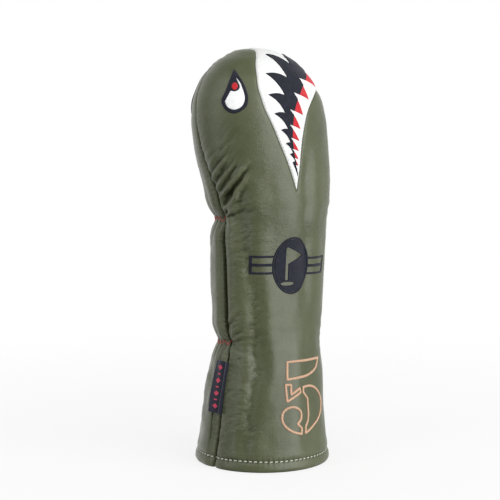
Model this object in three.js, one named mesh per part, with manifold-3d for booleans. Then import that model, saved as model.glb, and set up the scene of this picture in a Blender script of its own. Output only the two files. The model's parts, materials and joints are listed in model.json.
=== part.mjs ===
// Leather head cover for a fairway wood: a sewn sock of two leather panels with a white mouth inset,
// sewn-on artwork, two elastic bands, padding, lining, a folded hem and a woven label in the left seam.
// Units are millimetres. +Z is up and the front (artwork side) faces -Y. The origin lies in the hem plane,
// under the middle of the overall width and depth.

import * as THREE from 'three';
import { mergeVertices } from 'three/addons/utils/BufferGeometryUtils.js';
import Module from 'manifold-3d';

const wasm = await Module();
wasm.setup();

// Driving dimensions of the sewn form.
const HEIGHT = 320;             // hem plane to crown
const HEAD_LEVEL = 263;         // widest level of the head, where the dome starts
const DOME_HEIGHT = HEIGHT - HEAD_LEVEL;
const DOME_LEAN = -5;           // sideways drift of the crown above the head level
const ORIGIN_SHIFT = 1.4;       // sideways move that puts the origin under the middle of the widths
const UPPER_BAND = 189;         // level of the upper elastic band
const LOWER_BAND = 94;          // level of the lower elastic band

// Cross-section of the cover at each level: half width along X, half depth to the front and to the
// back along Y, and the sideways place of the centre.
const SECTIONS = [
  { z: 0, half: 52.9, front: 52.9, back: 52.9, centre: 0 },
  { z: 12, half: 50.8, front: 50.8, back: 50.8, centre: 0 },
  { z: 44, half: 47.6, front: 46.5, back: 46.5, centre: 0.6 },
  { z: 67, half: 46, front: 43.5, back: 42.5, centre: 2.6 },
  { z: 80, half: 43.8, front: 40, back: 37.5, centre: 4.2 },
  { z: LOWER_BAND, half: 42, front: 37, back: 33, centre: 5 },
  { z: 108, half: 44.5, front: 36.5, back: 36.5, centre: 4.6 },
  { z: 146, half: 47, front: 37.7, back: 38.4, centre: 4.8 },
  { z: 174, half: 47, front: 40.2, back: 37, centre: 5.6 },
  { z: UPPER_BAND, half: 45.6, front: 42.6, back: 33.5, centre: 6.2 },
  { z: 202, half: 49.5, front: 43.6, back: 39.5, centre: 4.8 },
  { z: 216, half: 52.4, front: 44, back: 42.5, centre: 3.4 },
  { z: 240, half: 54.9, front: 44.2, back: 44, centre: 0 },
  { z: HEAD_LEVEL, half: 55.8, front: 44, back: 44, centre: -2.8 },
];

// Layers through the wall, as depth below (+) or height above (-) the outer leather face.
const LEATHER = [0, 1.2];
const FACING = [1.6, 2.6];
const ELASTIC = [1.6, 2.3];
const PADDING = [3.8, 5.6];
const LINING = [6.1, 7.0];
const LOWER_APPLIQUE = [-0.8, -0.3];
const UPPER_APPLIQUE = [-1.6, -1.1];
const THREAD = [-0.8, -0.3];
const GATHER_THREAD = [-1.8, -1.3];   // thread that crosses the gathers of an elastic band

const GAP = 0.3;                // clearance kept between neighbouring pieces
const FINE = { around: 28, spacing: 24, domeRings: 4 };      // grid of the leather and what is on it
const COARSE = { around: 16, spacing: 40, domeRings: 3 };    // grid of the hidden layers
const REACH = 90;               // half length of a cutting prism, beyond the cover on every side

const HEM_STITCH_LEVEL = 8;
const FACING_HEIGHT = 22;
const INNER_START = 24;         // level where padding and lining begin, above the hem facing
const BAND_HEIGHT = 12;
const THREAD_WIDTH = 0.8;

const MOUTH_APEX = [0.3, 211.5];
const MOUTH_LEFT = [
  MOUTH_APEX, [-7.8, 232], [-18, 254.5], [-26.5, 274], [-28.4, 290], [-24, 306], [-15.5, 317], [-12.5, 324],
];
const MOUTH_RIGHT = [MOUTH_APEX, [3.2, 231], [6.2, 253], [12, 269.5], [22.5, 281.5], [37, 289], [62, 295]];
const MOUTH_TOP = 340;
const MOUTH_STITCH = { inner: 1.1, outer: 0.4 };   // inset of the thread's two edges from the border

const THROAT_END = 221.9;
const TOOTH_COUNT = 8;
const JAW_END = 37;             // sideways place where the mouth closes near the right seam
const CROWN_TOOTH = [7.4, 312.7];

const EYE_CENTRE = { x: -44.6, depth: 27.2, z: 278.5 };
const EYE_TURN = -43;           // degrees about Z from facing the front to the cheek
const EYE_REACH = 22;

const EMBLEM = { x: 0.5, z: 154.6, half: 16.2, height: 22, ring: 1.6, moat: 0.35 };
const NUMBER = { x: 5.5, z: 54, cord: 2.1 };

const LABEL_TO_FRONT = 9.5;     // how far the label's hinge lies in front of the widest line
const SEAM_ALLOWANCE = 2;
const ZIGZAG = { start: 2, end: 178, turns: 24, swing: 2.2 };   // degrees round the back, and mm

const TAG = { low: 41, high: 81, width: 12.5, thickness: 0.9, standOff: 2.3, lift: 5 };

const COLOURS = {
  olive: 0x5f644e,
  white: 0xf4f5f2,
  navy: 0x1f2236,
  red: 0xdf2f3a,
  tan: 0xe0bea3,
  thread: 0xe9e6dc,
  elastic: 0x1c1c1c,
  foam: 0xcfccc2,
  fleece: 0x3a3d33,
  label: 0x0b0d1c,
};

const group = new THREE.Group();
group.position.x = ORIGIN_SHIFT;

// ---------------------------------------------------------------- the sewn form

function sectionCurve(key) {
  const points = SECTIONS.map((s) => new THREE.Vector2(s.z, s[key]));
  return (z) => {
    let i = 1;
    while (i < points.length - 1 && z > points[i].x) i += 1;
    const a = points[i - 1];
    const b = points[i];
    const t = THREE.MathUtils.clamp((z - a.x) / (b.x - a.x), 0, 1);
    const before = points[Math.max(i - 2, 0)];
    const after = points[Math.min(i + 1, points.length - 1)];
    const slopeIn = ((b.y - before.y) / (b.x - before.x)) * (b.x - a.x);
    const slopeOut = ((after.y - a.y) / (after.x - a.x)) * (b.x - a.x);
    const t2 = t * t;
    const t3 = t2 * t;
    return (2 * t3 - 3 * t2 + 1) * a.y + (t3 - 2 * t2 + t) * slopeIn
      + (3 * t2 - 2 * t3) * b.y + (t3 - t2) * slopeOut;
  };
}

const halfAt = sectionCurve('half');
const frontAt = sectionCurve('front');
const backAt = sectionCurve('back');
const centreAt = sectionCurve('centre');

// A point of the surface that lies `depth` under the outer leather face.
function surfacePoint(level, angle, depth) {
  const rise = Math.max(level - HEAD_LEVEL, 0) / DOME_HEIGHT;
  const z = level > HEAD_LEVEL ? HEAD_LEVEL + rise * (DOME_HEIGHT - depth) : level;
  const shrink = Math.sqrt(Math.max(1 - rise * rise, 0));
  const base = Math.min(level, HEAD_LEVEL);
  const depthY = (Math.sin(angle) < 0 ? frontAt(base) : backAt(base)) - depth;
  const centre = centreAt(base) + DOME_LEAN * rise;
  return new THREE.Vector3(
    centre + (halfAt(base) - depth) * shrink * Math.cos(angle),
    depthY * shrink * Math.sin(angle),
    z,
  );
}

function levelsFrom(start, grid) {
  const levels = [start];
  for (let i = 1; i < SECTIONS.length; i += 1) {
    const low = SECTIONS[i - 1].z;
    const high = SECTIONS[i].z;
    const steps = Math.ceil((high - low) / grid.spacing);
    for (let k = 1; k <= steps; k += 1) {
      const z = low + ((high - low) * k) / steps;
      if (z > start + 2) levels.push(z);
    }
  }
  for (let k = 1; k <= grid.domeRings; k += 1) {
    levels.push(HEAD_LEVEL + DOME_HEIGHT * Math.sin((k * Math.PI) / (2 * grid.domeRings + 2)));
  }
  return levels;
}

// ---------------------------------------------------------------- solids

function solidFromTriangles(positions, triangles) {
  const mesh = new wasm.Mesh({
    numProp: 3,
    vertProperties: new Float32Array(positions),
    triVerts: new Uint32Array(triangles),
  });
  return new wasm.Manifold(mesh);
}

function solidFromGeometry(source) {
  const geometry = source.index ? source.toNonIndexed() : source.clone();
  geometry.deleteAttribute('normal');
  geometry.deleteAttribute('uv');
  const merged = mergeVertices(geometry, 1e-4);
  return solidFromTriangles(merged.attributes.position.array, merged.index.array);
}

// The wall of the cover between two depths, open at the bottom, as one closed body.
function wall([outerDepth, innerDepth], grid, start = 0) {
  const { around } = grid;
  const levels = levelsFrom(start, grid);
  const positions = [];
  const triangles = [];
  for (const depth of [outerDepth, innerDepth]) {
    for (const level of levels) {
      for (let i = 0; i < around; i += 1) {
        positions.push(...surfacePoint(level, (2 * Math.PI * i) / around, depth));
      }
    }
    positions.push(...surfacePoint(HEIGHT, 0, depth));
  }
  const layer = levels.length * around + 1;
  const outer = (ring, i) => ring * around + (i % around);
  const inner = (ring, i) => layer + outer(ring, i);
  const last = levels.length - 1;
  for (let i = 0; i < around; i += 1) {
    for (let ring = 0; ring < last; ring += 1) {
      const a = outer(ring, i);
      const b = outer(ring, i + 1);
      const c = outer(ring + 1, i + 1);
      const d = outer(ring + 1, i);
      triangles.push(a, b, c, a, c, d);
      triangles.push(a + layer, c + layer, b + layer, a + layer, d + layer, c + layer);
    }
    triangles.push(outer(last, i), outer(last, i + 1), layer - 1);
    triangles.push(inner(last, i + 1), inner(last, i), 2 * layer - 1);
    triangles.push(outer(0, i + 1), outer(0, i), inner(0, i));
    triangles.push(outer(0, i + 1), inner(0, i), inner(0, i + 1));
  }
  return solidFromTriangles(positions, triangles);
}

// A flat strip of the wall between two levels, all the way round.
function ringWall([outerDepth, innerDepth], low, high) {
  const { around } = FINE;
  const levels = [low, ...levelsFrom(0, FINE).filter((z) => z > low + 1 && z < high - 1), high];
  const corners = [];
  for (const level of levels) corners.push([level, outerDepth]);
  for (const level of [...levels].reverse()) corners.push([level, innerDepth]);
  const path = [];
  for (let i = 0; i < around; i += 1) path.push((2 * Math.PI * i) / around);
  return sweep(path.map((angle) => corners.map(([z, d]) => surfacePoint(z, angle, d))), true);
}

// Skin over a row of matching closed outlines. The outlines run clockwise seen along the row.
function sweep(outlines, closed) {
  const size = outlines[0].length;
  const positions = outlines.flat().flatMap((p) => [p.x, p.y, p.z]);
  const triangles = [];
  const count = outlines.length;
  const spans = closed ? count : count - 1;
  for (let i = 0; i < spans; i += 1) {
    const next = ((i + 1) % count) * size;
    for (let k = 0; k < size; k += 1) {
      const a = i * size + k;
      const b = i * size + ((k + 1) % size);
      triangles.push(a, next + k, b, b, next + k, next + ((k + 1) % size));
    }
  }
  if (!closed) {
    const end = (count - 1) * size;
    for (let k = 1; k < size - 1; k += 1) {
      triangles.push(0, k, k + 1);
      triangles.push(end, end + k + 1, end + k);
    }
  }
  return solidFromTriangles(positions, triangles);
}

// Prism of a flat outline. `facing` says how the outline stands in the part's frame.
const FACING_FRONT = new THREE.Matrix4().makeBasis(
  new THREE.Vector3(1, 0, 0), new THREE.Vector3(0, 0, 1), new THREE.Vector3(0, -1, 0));
const FACING_SIDE = new THREE.Matrix4().makeBasis(
  new THREE.Vector3(0, 1, 0), new THREE.Vector3(0, 0, 1), new THREE.Vector3(1, 0, 0));

function prism(shape, from, to, facing, segments = 5) {
  const geometry = new THREE.ExtrudeGeometry(shape, {
    depth: to - from, bevelEnabled: false, curveSegments: segments, steps: 1,
  });
  geometry.translate(0, 0, from);
  geometry.applyMatrix4(facing);
  return solidFromGeometry(geometry);
}

function shapeOf(points, holes = []) {
  const shape = new THREE.Shape(points.map(([x, y]) => new THREE.Vector2(x, y)));
  for (const hole of holes) shape.holes.push(new THREE.Path(hole.map(([x, y]) => new THREE.Vector2(x, y))));
  return shape;
}

function smooth(points, samples) {
  const curve = new THREE.SplineCurve(points.map(([x, y]) => new THREE.Vector2(x, y)));
  return curve.getPoints(samples).map((p) => [p.x, p.y]);
}

// Outline moved sideways by `distance`: outwards for an outline that runs anticlockwise.
function offsetOutline(points, distance) {
  const count = points.length;
  return points.map(([x, y], i) => {
    const [px, py] = points[(i + count - 1) % count];
    const [nx, ny] = points[(i + 1) % count];
    const before = new THREE.Vector2(y - py, px - x).normalize();
    const after = new THREE.Vector2(ny - y, x - nx).normalize();
    const mean = before.clone().add(after).normalize();
    const reach = distance / Math.max(mean.dot(after), 0.3);
    return [x + mean.x * reach, y + mean.y * reach];
  });
}

function add(name, solid, colour, roughness, metalness = 0) {
  const mesh = solid.getMesh();
  const geometry = new THREE.BufferGeometry();
  geometry.setAttribute('position', new THREE.BufferAttribute(mesh.vertProperties, 3));
  geometry.setIndex(new THREE.BufferAttribute(mesh.triVerts, 1));
  geometry.computeVertexNormals();
  const material = new THREE.MeshStandardMaterial({ color: colour, roughness, metalness });
  const node = new THREE.Mesh(geometry, material);
  node.name = name;
  group.add(node);
}

// ---------------------------------------------------------------- seams

// Place of both side seams along Y at each level: they swing to the front below the head.
const SEAM = [
  [-7.5, -5], [-9, 42], [-8.5, 70], [-6.5, 95], [-7.5, 115], [-8.2, 135], [-7.5, 160], [-4.5, 182],
  [-3.6, 195], [-4.6, 208], [-2.8, 219], [0.5, 231], [3, 246], [4.8, 265], [7.5, 284], [8, 300], [8, 330],
];

function sideRegion(side, clearance) {
  const line = smooth(SEAM, 32).map(([y, z]) => [y + side * clearance, z]);
  const far = side * REACH;
  return prism(shapeOf([...line, [far, 330], [far, -5]]), -REACH, REACH, FACING_SIDE);
}

const frontRegion = sideRegion(-1, GAP / 2);
const backRegion = sideRegion(1, GAP / 2);

// ---------------------------------------------------------------- mouth

const leftBorder = smooth(MOUTH_LEFT, 14);
const rightBorder = smooth(MOUTH_RIGHT, 14);

function mouthOutline(grow) {
  const outline = [
    ...rightBorder, [rightBorder.at(-1)[0], MOUTH_TOP], [leftBorder.at(-1)[0], MOUTH_TOP],
    ...leftBorder.slice(1).reverse(),
  ];
  return grow ? offsetOutline(outline, grow) : outline;
}

function borderAt(border, z) {
  let i = 1;
  while (i < border.length - 1 && z > border[i][1]) i += 1;
  const [[x0, z0], [x1, z1]] = [border[i - 1], border[i]];
  return x0 + ((x1 - x0) * (z - z0)) / (z1 - z0);
}

// Levels of the tooth tips grow apart from the throat's lower end to the crown.
const toothLevel = (k) => Math.min(THROAT_END + 6.5 + 3.17 * k + 0.967 * k * k, 313);
const above = (z) => Math.max(z - THROAT_END, 0);
const leftAt = (z) => borderAt(leftBorder, Math.min(z, 318));
const rightAt = (z) => borderAt(rightBorder, Math.min(z, 290));

// Where the spikes of the throat join its middle, on the left and on the right.
const leftRoot = (z) => leftAt(z) + 5 + 0.08 * above(z) + 0.0025 * above(z) ** 2;
const rightRoot = (z) => leftAt(z) + 5.2 + 0.0056 * above(z) ** 2;

// Points of a bowed line, without its last point. A positive bow lies left of the way it runs.
function bowed(from, to, bow, samples = 2) {
  const control = [
    (from[0] + to[0]) / 2 - (to[1] - from[1]) * bow,
    (from[1] + to[1]) / 2 + (to[0] - from[0]) * bow,
  ];
  const points = [];
  for (let i = 0; i < samples; i += 1) {
    const t = i / samples;
    points.push([0, 1].map((n) => (1 - t) ** 2 * from[n] + 2 * t * (1 - t) * control[n] + t * t * to[n]));
  }
  return points;
}

// The open mouth: a jagged throat between two rows of pointed teeth.
function throatOutline() {
  const start = [leftAt(THROAT_END) + 4.2, THROAT_END];
  const outline = [];
  let from = start;
  for (let k = 1; k <= TOOTH_COUNT; k += 1) {
    const rootLevel = toothLevel(k) - 1.5 - 0.24 * k * k;
    const tipLevel = rootLevel - 0.75 * k;
    const root = [rightRoot(rootLevel), rootLevel];
    const tip = [Math.min(rightAt(tipLevel) - 1.4 - 0.07 * above(tipLevel), JAW_END), tipLevel];
    outline.push(...bowed(from, root, -0.1), ...bowed(root, tip, 0.03));
    from = tip;
  }
  outline.push(from, [JAW_END + 6, MOUTH_TOP], [18, MOUTH_TOP], [16, 316]);
  from = CROWN_TOOTH;
  for (let k = TOOTH_COUNT; k >= 1; k -= 1) {
    const tipLevel = toothLevel(k);
    const rootLevel = tipLevel + 0.8 - 0.85 * Math.max(k - 5, 0) ** 2;
    const root = [leftRoot(rootLevel), rootLevel];
    const tip = [leftAt(tipLevel) + 3.3 + 0.04 * above(tipLevel), tipLevel];
    outline.push(...bowed(from, root, 0.17), ...bowed(root, tip, -0.2));
    from = tip;
  }
  outline.push(...bowed(from, start, 0.05));
  return outline;
}

// Left edge of the red gum, which shows past the navy throat at the right-hand spikes.
function gumEdge() {
  const edge = [];
  for (let z = THROAT_END - 4; z < 300; z += 8) {
    edge.push([rightRoot(z) + 0.8 + 0.0017 * above(z) ** 2, z]);
  }
  edge.push([27, 306], [28, MOUTH_TOP]);
  return edge;
}

const leather = wall(LEATHER, FINE);
const lowerApplique = wall(LOWER_APPLIQUE, FINE);
const upperApplique = wall(UPPER_APPLIQUE, FINE);
const mouthHole = prism(shapeOf(mouthOutline(GAP)), -REACH, REACH, FACING_FRONT);

function addPanels() {
  const body = leather.subtract(mouthHole);
  add('front_panel', body.intersect(frontRegion), COLOURS.olive, 0.55);
  add('back_panel', body.intersect(backRegion), COLOURS.olive, 0.55);
}

function addMouth() {
  const inset = prism(shapeOf(mouthOutline(0)), -REACH, REACH, FACING_FRONT);
  add('mouth_inset', leather.intersect(inset), COLOURS.white, 0.5);
  const throat = prism(shapeOf(throatOutline()), -REACH, REACH, FACING_FRONT);
  add('mouth_gum', lowerApplique.intersect(throat), COLOURS.red, 0.7);
  const edge = gumEdge();
  const throatSide = [...edge, [-REACH, MOUTH_TOP], [-REACH, edge[0][1]]];
  const uncovered = prism(shapeOf(throatSide), -REACH, REACH, FACING_FRONT);
  add('mouth_throat', upperApplique.intersect(throat).intersect(uncovered), COLOURS.navy, 0.7);
  const { inner, outer } = MOUTH_STITCH;
  const band = prism(shapeOf(mouthOutline(-outer), [mouthOutline(-inner)]), -REACH, REACH, FACING_FRONT);
  add('mouth_topstitch', wall(THREAD, FINE).intersect(band), COLOURS.thread, 0.8);
}

// ---------------------------------------------------------------- eyes

// The navy drop, the white of the eye that shows through it and the pupil, about the eye's middle. The
// white has a round bite where the dark lid holds the pupil.
const EYE_DROP = [
  [-1.8, 23], [5.9, 12.6], [9.9, 1.4], [7.8, -6], [0.2, -10], [-6.2, -7.6], [-9.9, -0.8], [-7.3, 6],
  [-4.8, 13.4], [-1.8, 23],
];
const EYE_WHITE = [
  [0.4, 16.4], [4.1, 11.4], [7.4, 1.4], [5.3, -4.8], [0.1, -7.1], [-4.9, -5.3], [-7.1, -1],
];
const EYE_BITE = [[-3, 6.6], [-0.2, 6], [2.4, 7], [3.5, 9.4], [2.2, 12.6]];
const PUPIL = { x: -0.2, y: 9.7, half: 2.3, height: 2.7 };

function inset(points, distance) {
  const section = new wasm.CrossSection([points], 'Positive').offset(-distance, 'Miter', 2, 0);
  return section.toPolygons()[0];
}

function eyePrism(points, side) {
  const outline = side < 0 ? points : points.map(([x, y]) => [-x, y]).reverse();
  const solid = prism(shapeOf(outline), -EYE_REACH, EYE_REACH, FACING_FRONT);
  const turn = side < 0 ? EYE_TURN : -180 - EYE_TURN;
  return solid.rotate([0, 0, turn]).translate([EYE_CENTRE.x, side * EYE_CENTRE.depth, EYE_CENTRE.z]);
}

function addEye(name, side) {
  const drop = smooth(EYE_DROP, 22).slice(0, -1).reverse();
  const white = [...smooth(EYE_WHITE, 12), ...EYE_BITE].reverse();
  const pupil = ellipse(PUPIL.x, PUPIL.y, PUPIL.half, PUPIL.height, 14);
  const rim = eyePrism(drop, side).subtract(eyePrism(white, side));
  add(`eye_outline_${name}`, lowerApplique.intersect(rim), COLOURS.navy, 0.7);
  add(`eye_white_${name}`, lowerApplique.intersect(eyePrism(inset(white, GAP), side)), COLOURS.white, 0.7);
  add(`eye_pupil_${name}`, upperApplique.intersect(eyePrism(pupil, side)), COLOURS.red, 0.7);
}

// ---------------------------------------------------------------- badge and number

function ellipse(x, y, half, height, count) {
  const points = [];
  for (let i = 0; i < count; i += 1) {
    const turn = (2 * Math.PI * i) / count;
    points.push([x + half * Math.cos(turn), y + height * Math.sin(turn)]);
  }
  return points;
}

const place = (points, at) => points.map(([x, y]) => [x + at.x, y + at.z]);
const frontPrism = (shape) => prism(shape, 0, REACH, FACING_FRONT);

function badgeEllipse(inwards, count) {
  return place(ellipse(0, 0, EMBLEM.half - inwards, EMBLEM.height - inwards, count), EMBLEM);
}

// An upright oval badge: a ring, and a disc with a window in the form of a pennant on its pin.
function addBadge() {
  const { ring, moat } = EMBLEM;
  const pennant = [[-5.6, -11], [-3.4, -11], [-3.4, 1.5], [9.4, 7.6], [-3.4, 13.8], [-5.6, 13.8]];
  const green = ellipse(-3.6, -13.8, 5.6, 1.4, 16);
  const rim = shapeOf(badgeEllipse(0, 32), [badgeEllipse(ring, 32)]);
  const disc = shapeOf(badgeEllipse(ring + moat, 28), [place(pennant, EMBLEM), place(green, EMBLEM)]);
  add('badge_ring', lowerApplique.intersect(frontPrism(rim)), COLOURS.navy, 0.7);
  add('badge_disc', lowerApplique.intersect(frontPrism(disc)), COLOURS.navy, 0.7);
}

// Framed bars beside the badge, each with two windows that are open towards the badge.
const BARS = {
  left: { tip: [-30.9, -30.9], low: -6.1, high: 8.1, rim: 1.8 },
  right: { tip: [33, 36.6], low: -7.9, high: 5.8, rim: -1.8 },
};

function addBars() {
  const clear = frontPrism(shapeOf(badgeEllipse(-GAP, 32)));
  for (const [name, { tip, low, high, rim }] of Object.entries(BARS)) {
    const middle = (low + high) / 2;
    const box = (x0, x1, z0, z1) => place([[0, z0], [x0, z0], [x1, z1], [0, z1]], EMBLEM);
    const frame = frontPrism(shapeOf(box(tip[0], tip[1], low, high)));
    const [x0, x1] = tip.map((x) => x + rim);
    const under = frontPrism(shapeOf(box(x0, (x0 + x1) / 2, low + 1.7, middle - 1.1)));
    const over = frontPrism(shapeOf(box((x0 + x1) / 2, x1, middle + 1.1, high - 1.7)));
    const bar = frame.subtract(under).subtract(over).subtract(clear);
    add(`badge_bar_${name}`, lowerApplique.intersect(bar), COLOURS.navy, 0.7);
  }
}

// The stencil figure 5, as four closed loops of cord about the middle of the figure.
const FIGURE = {
  flag: [...smooth([[-12.7, 14.2], [-2.7, 15], [6.9, 16], [16.5, 19.6], [22.5, 26.8]], 8), [-10.5, 27]],
  stem: [[-14.4, -2], [-3.2, 4], [-3.6, 7.2], [-11, 3], [-10.4, 10.3], [-14.4, 10.4]],
  hook: [
    ...smooth([
      [-4.6, -27.2], [-12.2, -24.6], [-17.6, -19.8], [-19.2, -13.6], [-16.4, -8.2], [-10.2, -6.4],
      [-4.6, -9.6], [-4, -15.2], [-7.8, -19.4],
    ], 16),
    [-4.2, -22.8],
  ].reverse(),
  bowl: [
    ...smooth([
      [0.2, 7.7], [9.2, 7.4], [17.3, 2.6], [21.6, -6.4], [17.8, -17], [8.4, -23.8], [-0.6, -27.2],
    ], 14),
    [0.6, -22], [3.4, -18.6], [4.6, -14], [4.6, -1.4], [0, 3.6],
  ].reverse(),
};

function addNumber() {
  for (const [name, loop] of Object.entries(FIGURE)) {
    const half = NUMBER.cord / 2;
    const outer = place(offsetOutline(loop, half), NUMBER);
    const inner = place(offsetOutline(loop, -half), NUMBER);
    add(`number_${name}`, lowerApplique.intersect(frontPrism(shapeOf(outer, [inner]))), COLOURS.tan, 0.75);
  }
}

// ---------------------------------------------------------------- hem, bands and inner layers

function loopThread(level, width) {
  const { around } = FINE;
  const outlines = [];
  for (let i = 0; i < around; i += 1) {
    const angle = (2 * Math.PI * i) / around;
    outlines.push([
      surfacePoint(level + width / 2, angle, THREAD[0]), surfacePoint(level + width / 2, angle, THREAD[1]),
      surfacePoint(level - width / 2, angle, THREAD[1]), surfacePoint(level - width / 2, angle, THREAD[0]),
    ]);
  }
  return sweep(outlines, true);
}

// A zigzag row of thread across the back panel, over the elastic band under it.
function zigzagThread(level) {
  const outlines = [];
  const first = THREE.MathUtils.degToRad(ZIGZAG.start);
  const last = THREE.MathUtils.degToRad(ZIGZAG.end);
  for (let i = 0; i <= ZIGZAG.turns; i += 1) {
    const angle = first + ((last - first) * i) / ZIGZAG.turns;
    const z = level + (i % 2 ? ZIGZAG.swing : -ZIGZAG.swing);
    const half = THREAD_WIDTH * 0.7;
    outlines.push([
      surfacePoint(z + half, angle, GATHER_THREAD[0]), surfacePoint(z + half, angle, GATHER_THREAD[1]),
      surfacePoint(z - half, angle, GATHER_THREAD[1]), surfacePoint(z - half, angle, GATHER_THREAD[0]),
    ]);
  }
  return sweep(outlines, false);
}

function addHem() {
  add('hem_facing', ringWall(FACING, 0, FACING_HEIGHT), COLOURS.olive, 0.65);
  add('hem_topstitch', loopThread(HEM_STITCH_LEVEL, THREAD_WIDTH), COLOURS.thread, 0.8);
}

function addBands() {
  const inBack = sideRegion(1, SEAM_ALLOWANCE);
  for (const [name, level] of [['upper', UPPER_BAND], ['lower', LOWER_BAND]]) {
    const band = ringWall(ELASTIC, level - BAND_HEIGHT / 2, level + BAND_HEIGHT / 2);
    add(`elastic_${name}`, band.intersect(inBack), COLOURS.elastic, 0.85);
    add(`elastic_stitch_${name}`, zigzagThread(level), COLOURS.red, 0.8);
  }
}

function addInnerLayers() {
  const layers = [['padding', PADDING, COLOURS.foam], ['lining', LINING, COLOURS.fleece]];
  for (const [name, layer, colour] of layers) {
    const solid = wall(layer, COARSE, INNER_START);
    add(`front_${name}`, solid.intersect(frontRegion), colour, 0.95);
    add(`back_${name}`, solid.intersect(backRegion), colour, 0.95);
  }
}

// ---------------------------------------------------------------- woven label

// The seam line outside the leather, where the label is caught and turns.
function labelEdge(level) {
  const y = -LABEL_TO_FRONT;
  const angle = -Math.PI - Math.asin(y / frontAt(level));
  return surfacePoint(level, angle, -TAG.standOff);
}

function addLabel() {
  const low = labelEdge(TAG.low);
  const high = labelEdge(TAG.high);
  const up = high.clone().sub(low).normalize();
  const middle = low.clone().add(high).multiplyScalar(0.5);
  const level = (TAG.low + TAG.high) / 2;
  const out = new THREE.Vector3(
    (middle.x - centreAt(level)) / halfAt(level) ** 2, middle.y / frontAt(level) ** 2, 0);
  out.addScaledVector(up, -out.dot(up)).normalize();
  const across = new THREE.Vector3().crossVectors(out, up);
  across.applyAxisAngle(up, THREE.MathUtils.degToRad(TAG.lift));
  const face = new THREE.Vector3().crossVectors(up, across);
  const half = TAG.thickness / 2;
  const profile = new THREE.Shape();
  profile.moveTo(0, -half);
  profile.lineTo(TAG.width - half, -half);
  profile.absarc(TAG.width - half, 0, half, -Math.PI / 2, Math.PI / 2, false);
  profile.lineTo(0, half);
  profile.absarc(0, 0, half, Math.PI / 2, (3 * Math.PI) / 2, false);
  const plate = new THREE.ExtrudeGeometry(profile, {
    depth: low.distanceTo(high), bevelEnabled: false, curveSegments: 6,
  });
  const place3 = new THREE.Matrix4().makeBasis(across, face, up).setPosition(low);
  plate.applyMatrix4(place3);
  add('woven_label', solidFromGeometry(plate), COLOURS.label, 0.9);
}

addPanels();
addMouth();
addEye('front', -1);
addEye('back', 1);
addBadge();
addBars();
addNumber();
addHem();
addBands();
addInnerLayers();
addLabel();

export default group;
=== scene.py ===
import json
import math
from types import SimpleNamespace

import bpy
import numpy as np
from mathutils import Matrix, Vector
from mathutils.bvhtree import BVHTree
from mathutils.kdtree import KDTree


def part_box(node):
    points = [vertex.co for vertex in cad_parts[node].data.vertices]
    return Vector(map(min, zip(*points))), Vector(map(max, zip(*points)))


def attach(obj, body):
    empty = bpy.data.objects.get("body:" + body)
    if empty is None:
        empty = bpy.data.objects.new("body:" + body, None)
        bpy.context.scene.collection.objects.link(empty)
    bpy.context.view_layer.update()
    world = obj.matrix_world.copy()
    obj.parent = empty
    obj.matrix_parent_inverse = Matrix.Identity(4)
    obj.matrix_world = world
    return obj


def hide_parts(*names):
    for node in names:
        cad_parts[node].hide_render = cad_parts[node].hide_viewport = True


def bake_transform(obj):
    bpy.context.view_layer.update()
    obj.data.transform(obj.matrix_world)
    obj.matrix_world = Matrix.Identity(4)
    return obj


# Looks of a padded leather head cover. Lengths in this script are millimetres until a mesh is made.
# The skin is a grid over (turn, rise): turn is the angle round +Z, and rise is the height up to the
# head level and then the length along the dome. Every sewn piece is cut from that one skin.

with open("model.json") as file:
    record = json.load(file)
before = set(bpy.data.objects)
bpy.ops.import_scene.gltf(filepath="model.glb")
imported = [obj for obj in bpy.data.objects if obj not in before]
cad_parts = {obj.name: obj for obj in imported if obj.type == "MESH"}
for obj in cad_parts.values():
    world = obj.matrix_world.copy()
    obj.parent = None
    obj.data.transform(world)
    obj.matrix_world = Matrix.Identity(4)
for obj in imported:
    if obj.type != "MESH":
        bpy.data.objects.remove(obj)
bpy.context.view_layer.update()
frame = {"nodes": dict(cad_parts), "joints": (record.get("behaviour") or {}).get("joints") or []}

MM = 0.001
HEAD_LEVEL = 263.0                 # where the CAD form turns into the dome
DOME_RISE = 80.0                   # length given to the dome, from the head level to the crown
TOP = HEAD_LEVEL + DOME_RISE
SEAM_TOP = HEAD_LEVEL + 45         # above this the white inset covers the seam
FORM_TURNS = 112                   # directions in which the CAD form is measured at each rise
TURNS, RISES = 960, 1000           # the skin's own grid
UPPER_BAND, LOWER_BAND = (
    (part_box(name)[0].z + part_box(name)[1].z) / 2 / MM for name in ("elastic_upper", "elastic_lower")
)
HEM_STITCH = sum(corner.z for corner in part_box("hem_topstitch")) / 2 / MM
HEM_RADIUS, SKIN_RADIUS = 52, 42   # typical radii, for lengths round the hem and round the skin
HEM_STRETCH = 1.24                 # a length round the hem over the same turn's length round the skin
STITCH_PITCH = 4.0
PATTERN_SHIFT = 1.4                # the artwork's middle line lies this far to +X of the row frame's


# ---------------------------------------------------------------- numbers

def smoothstep(low, high, x):
    t = np.clip((x - low) / (high - low), 0, 1)
    return t * t * (3 - 2 * t)


def bump(centre, width, x):
    return np.exp(-((x - centre) / width) ** 2)


def window(low, high, soft, x):
    return smoothstep(low - soft, low + soft, x) * (1 - smoothstep(high - soft, high + soft, x))


def unit(vectors):
    return vectors / np.maximum(np.linalg.norm(vectors, axis=-1, keepdims=True), 1e-9)


def run_along(points):
    """Length gone at each point of a line."""
    return np.concatenate([[0], np.cumsum(np.linalg.norm(np.diff(points, axis=0), axis=1))])


def read_line(points, run, where):
    """Places on a line at lengths gone along it."""
    return np.stack([np.interp(where, run, points[:, k]) for k in range(points.shape[1])], 1)


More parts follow.
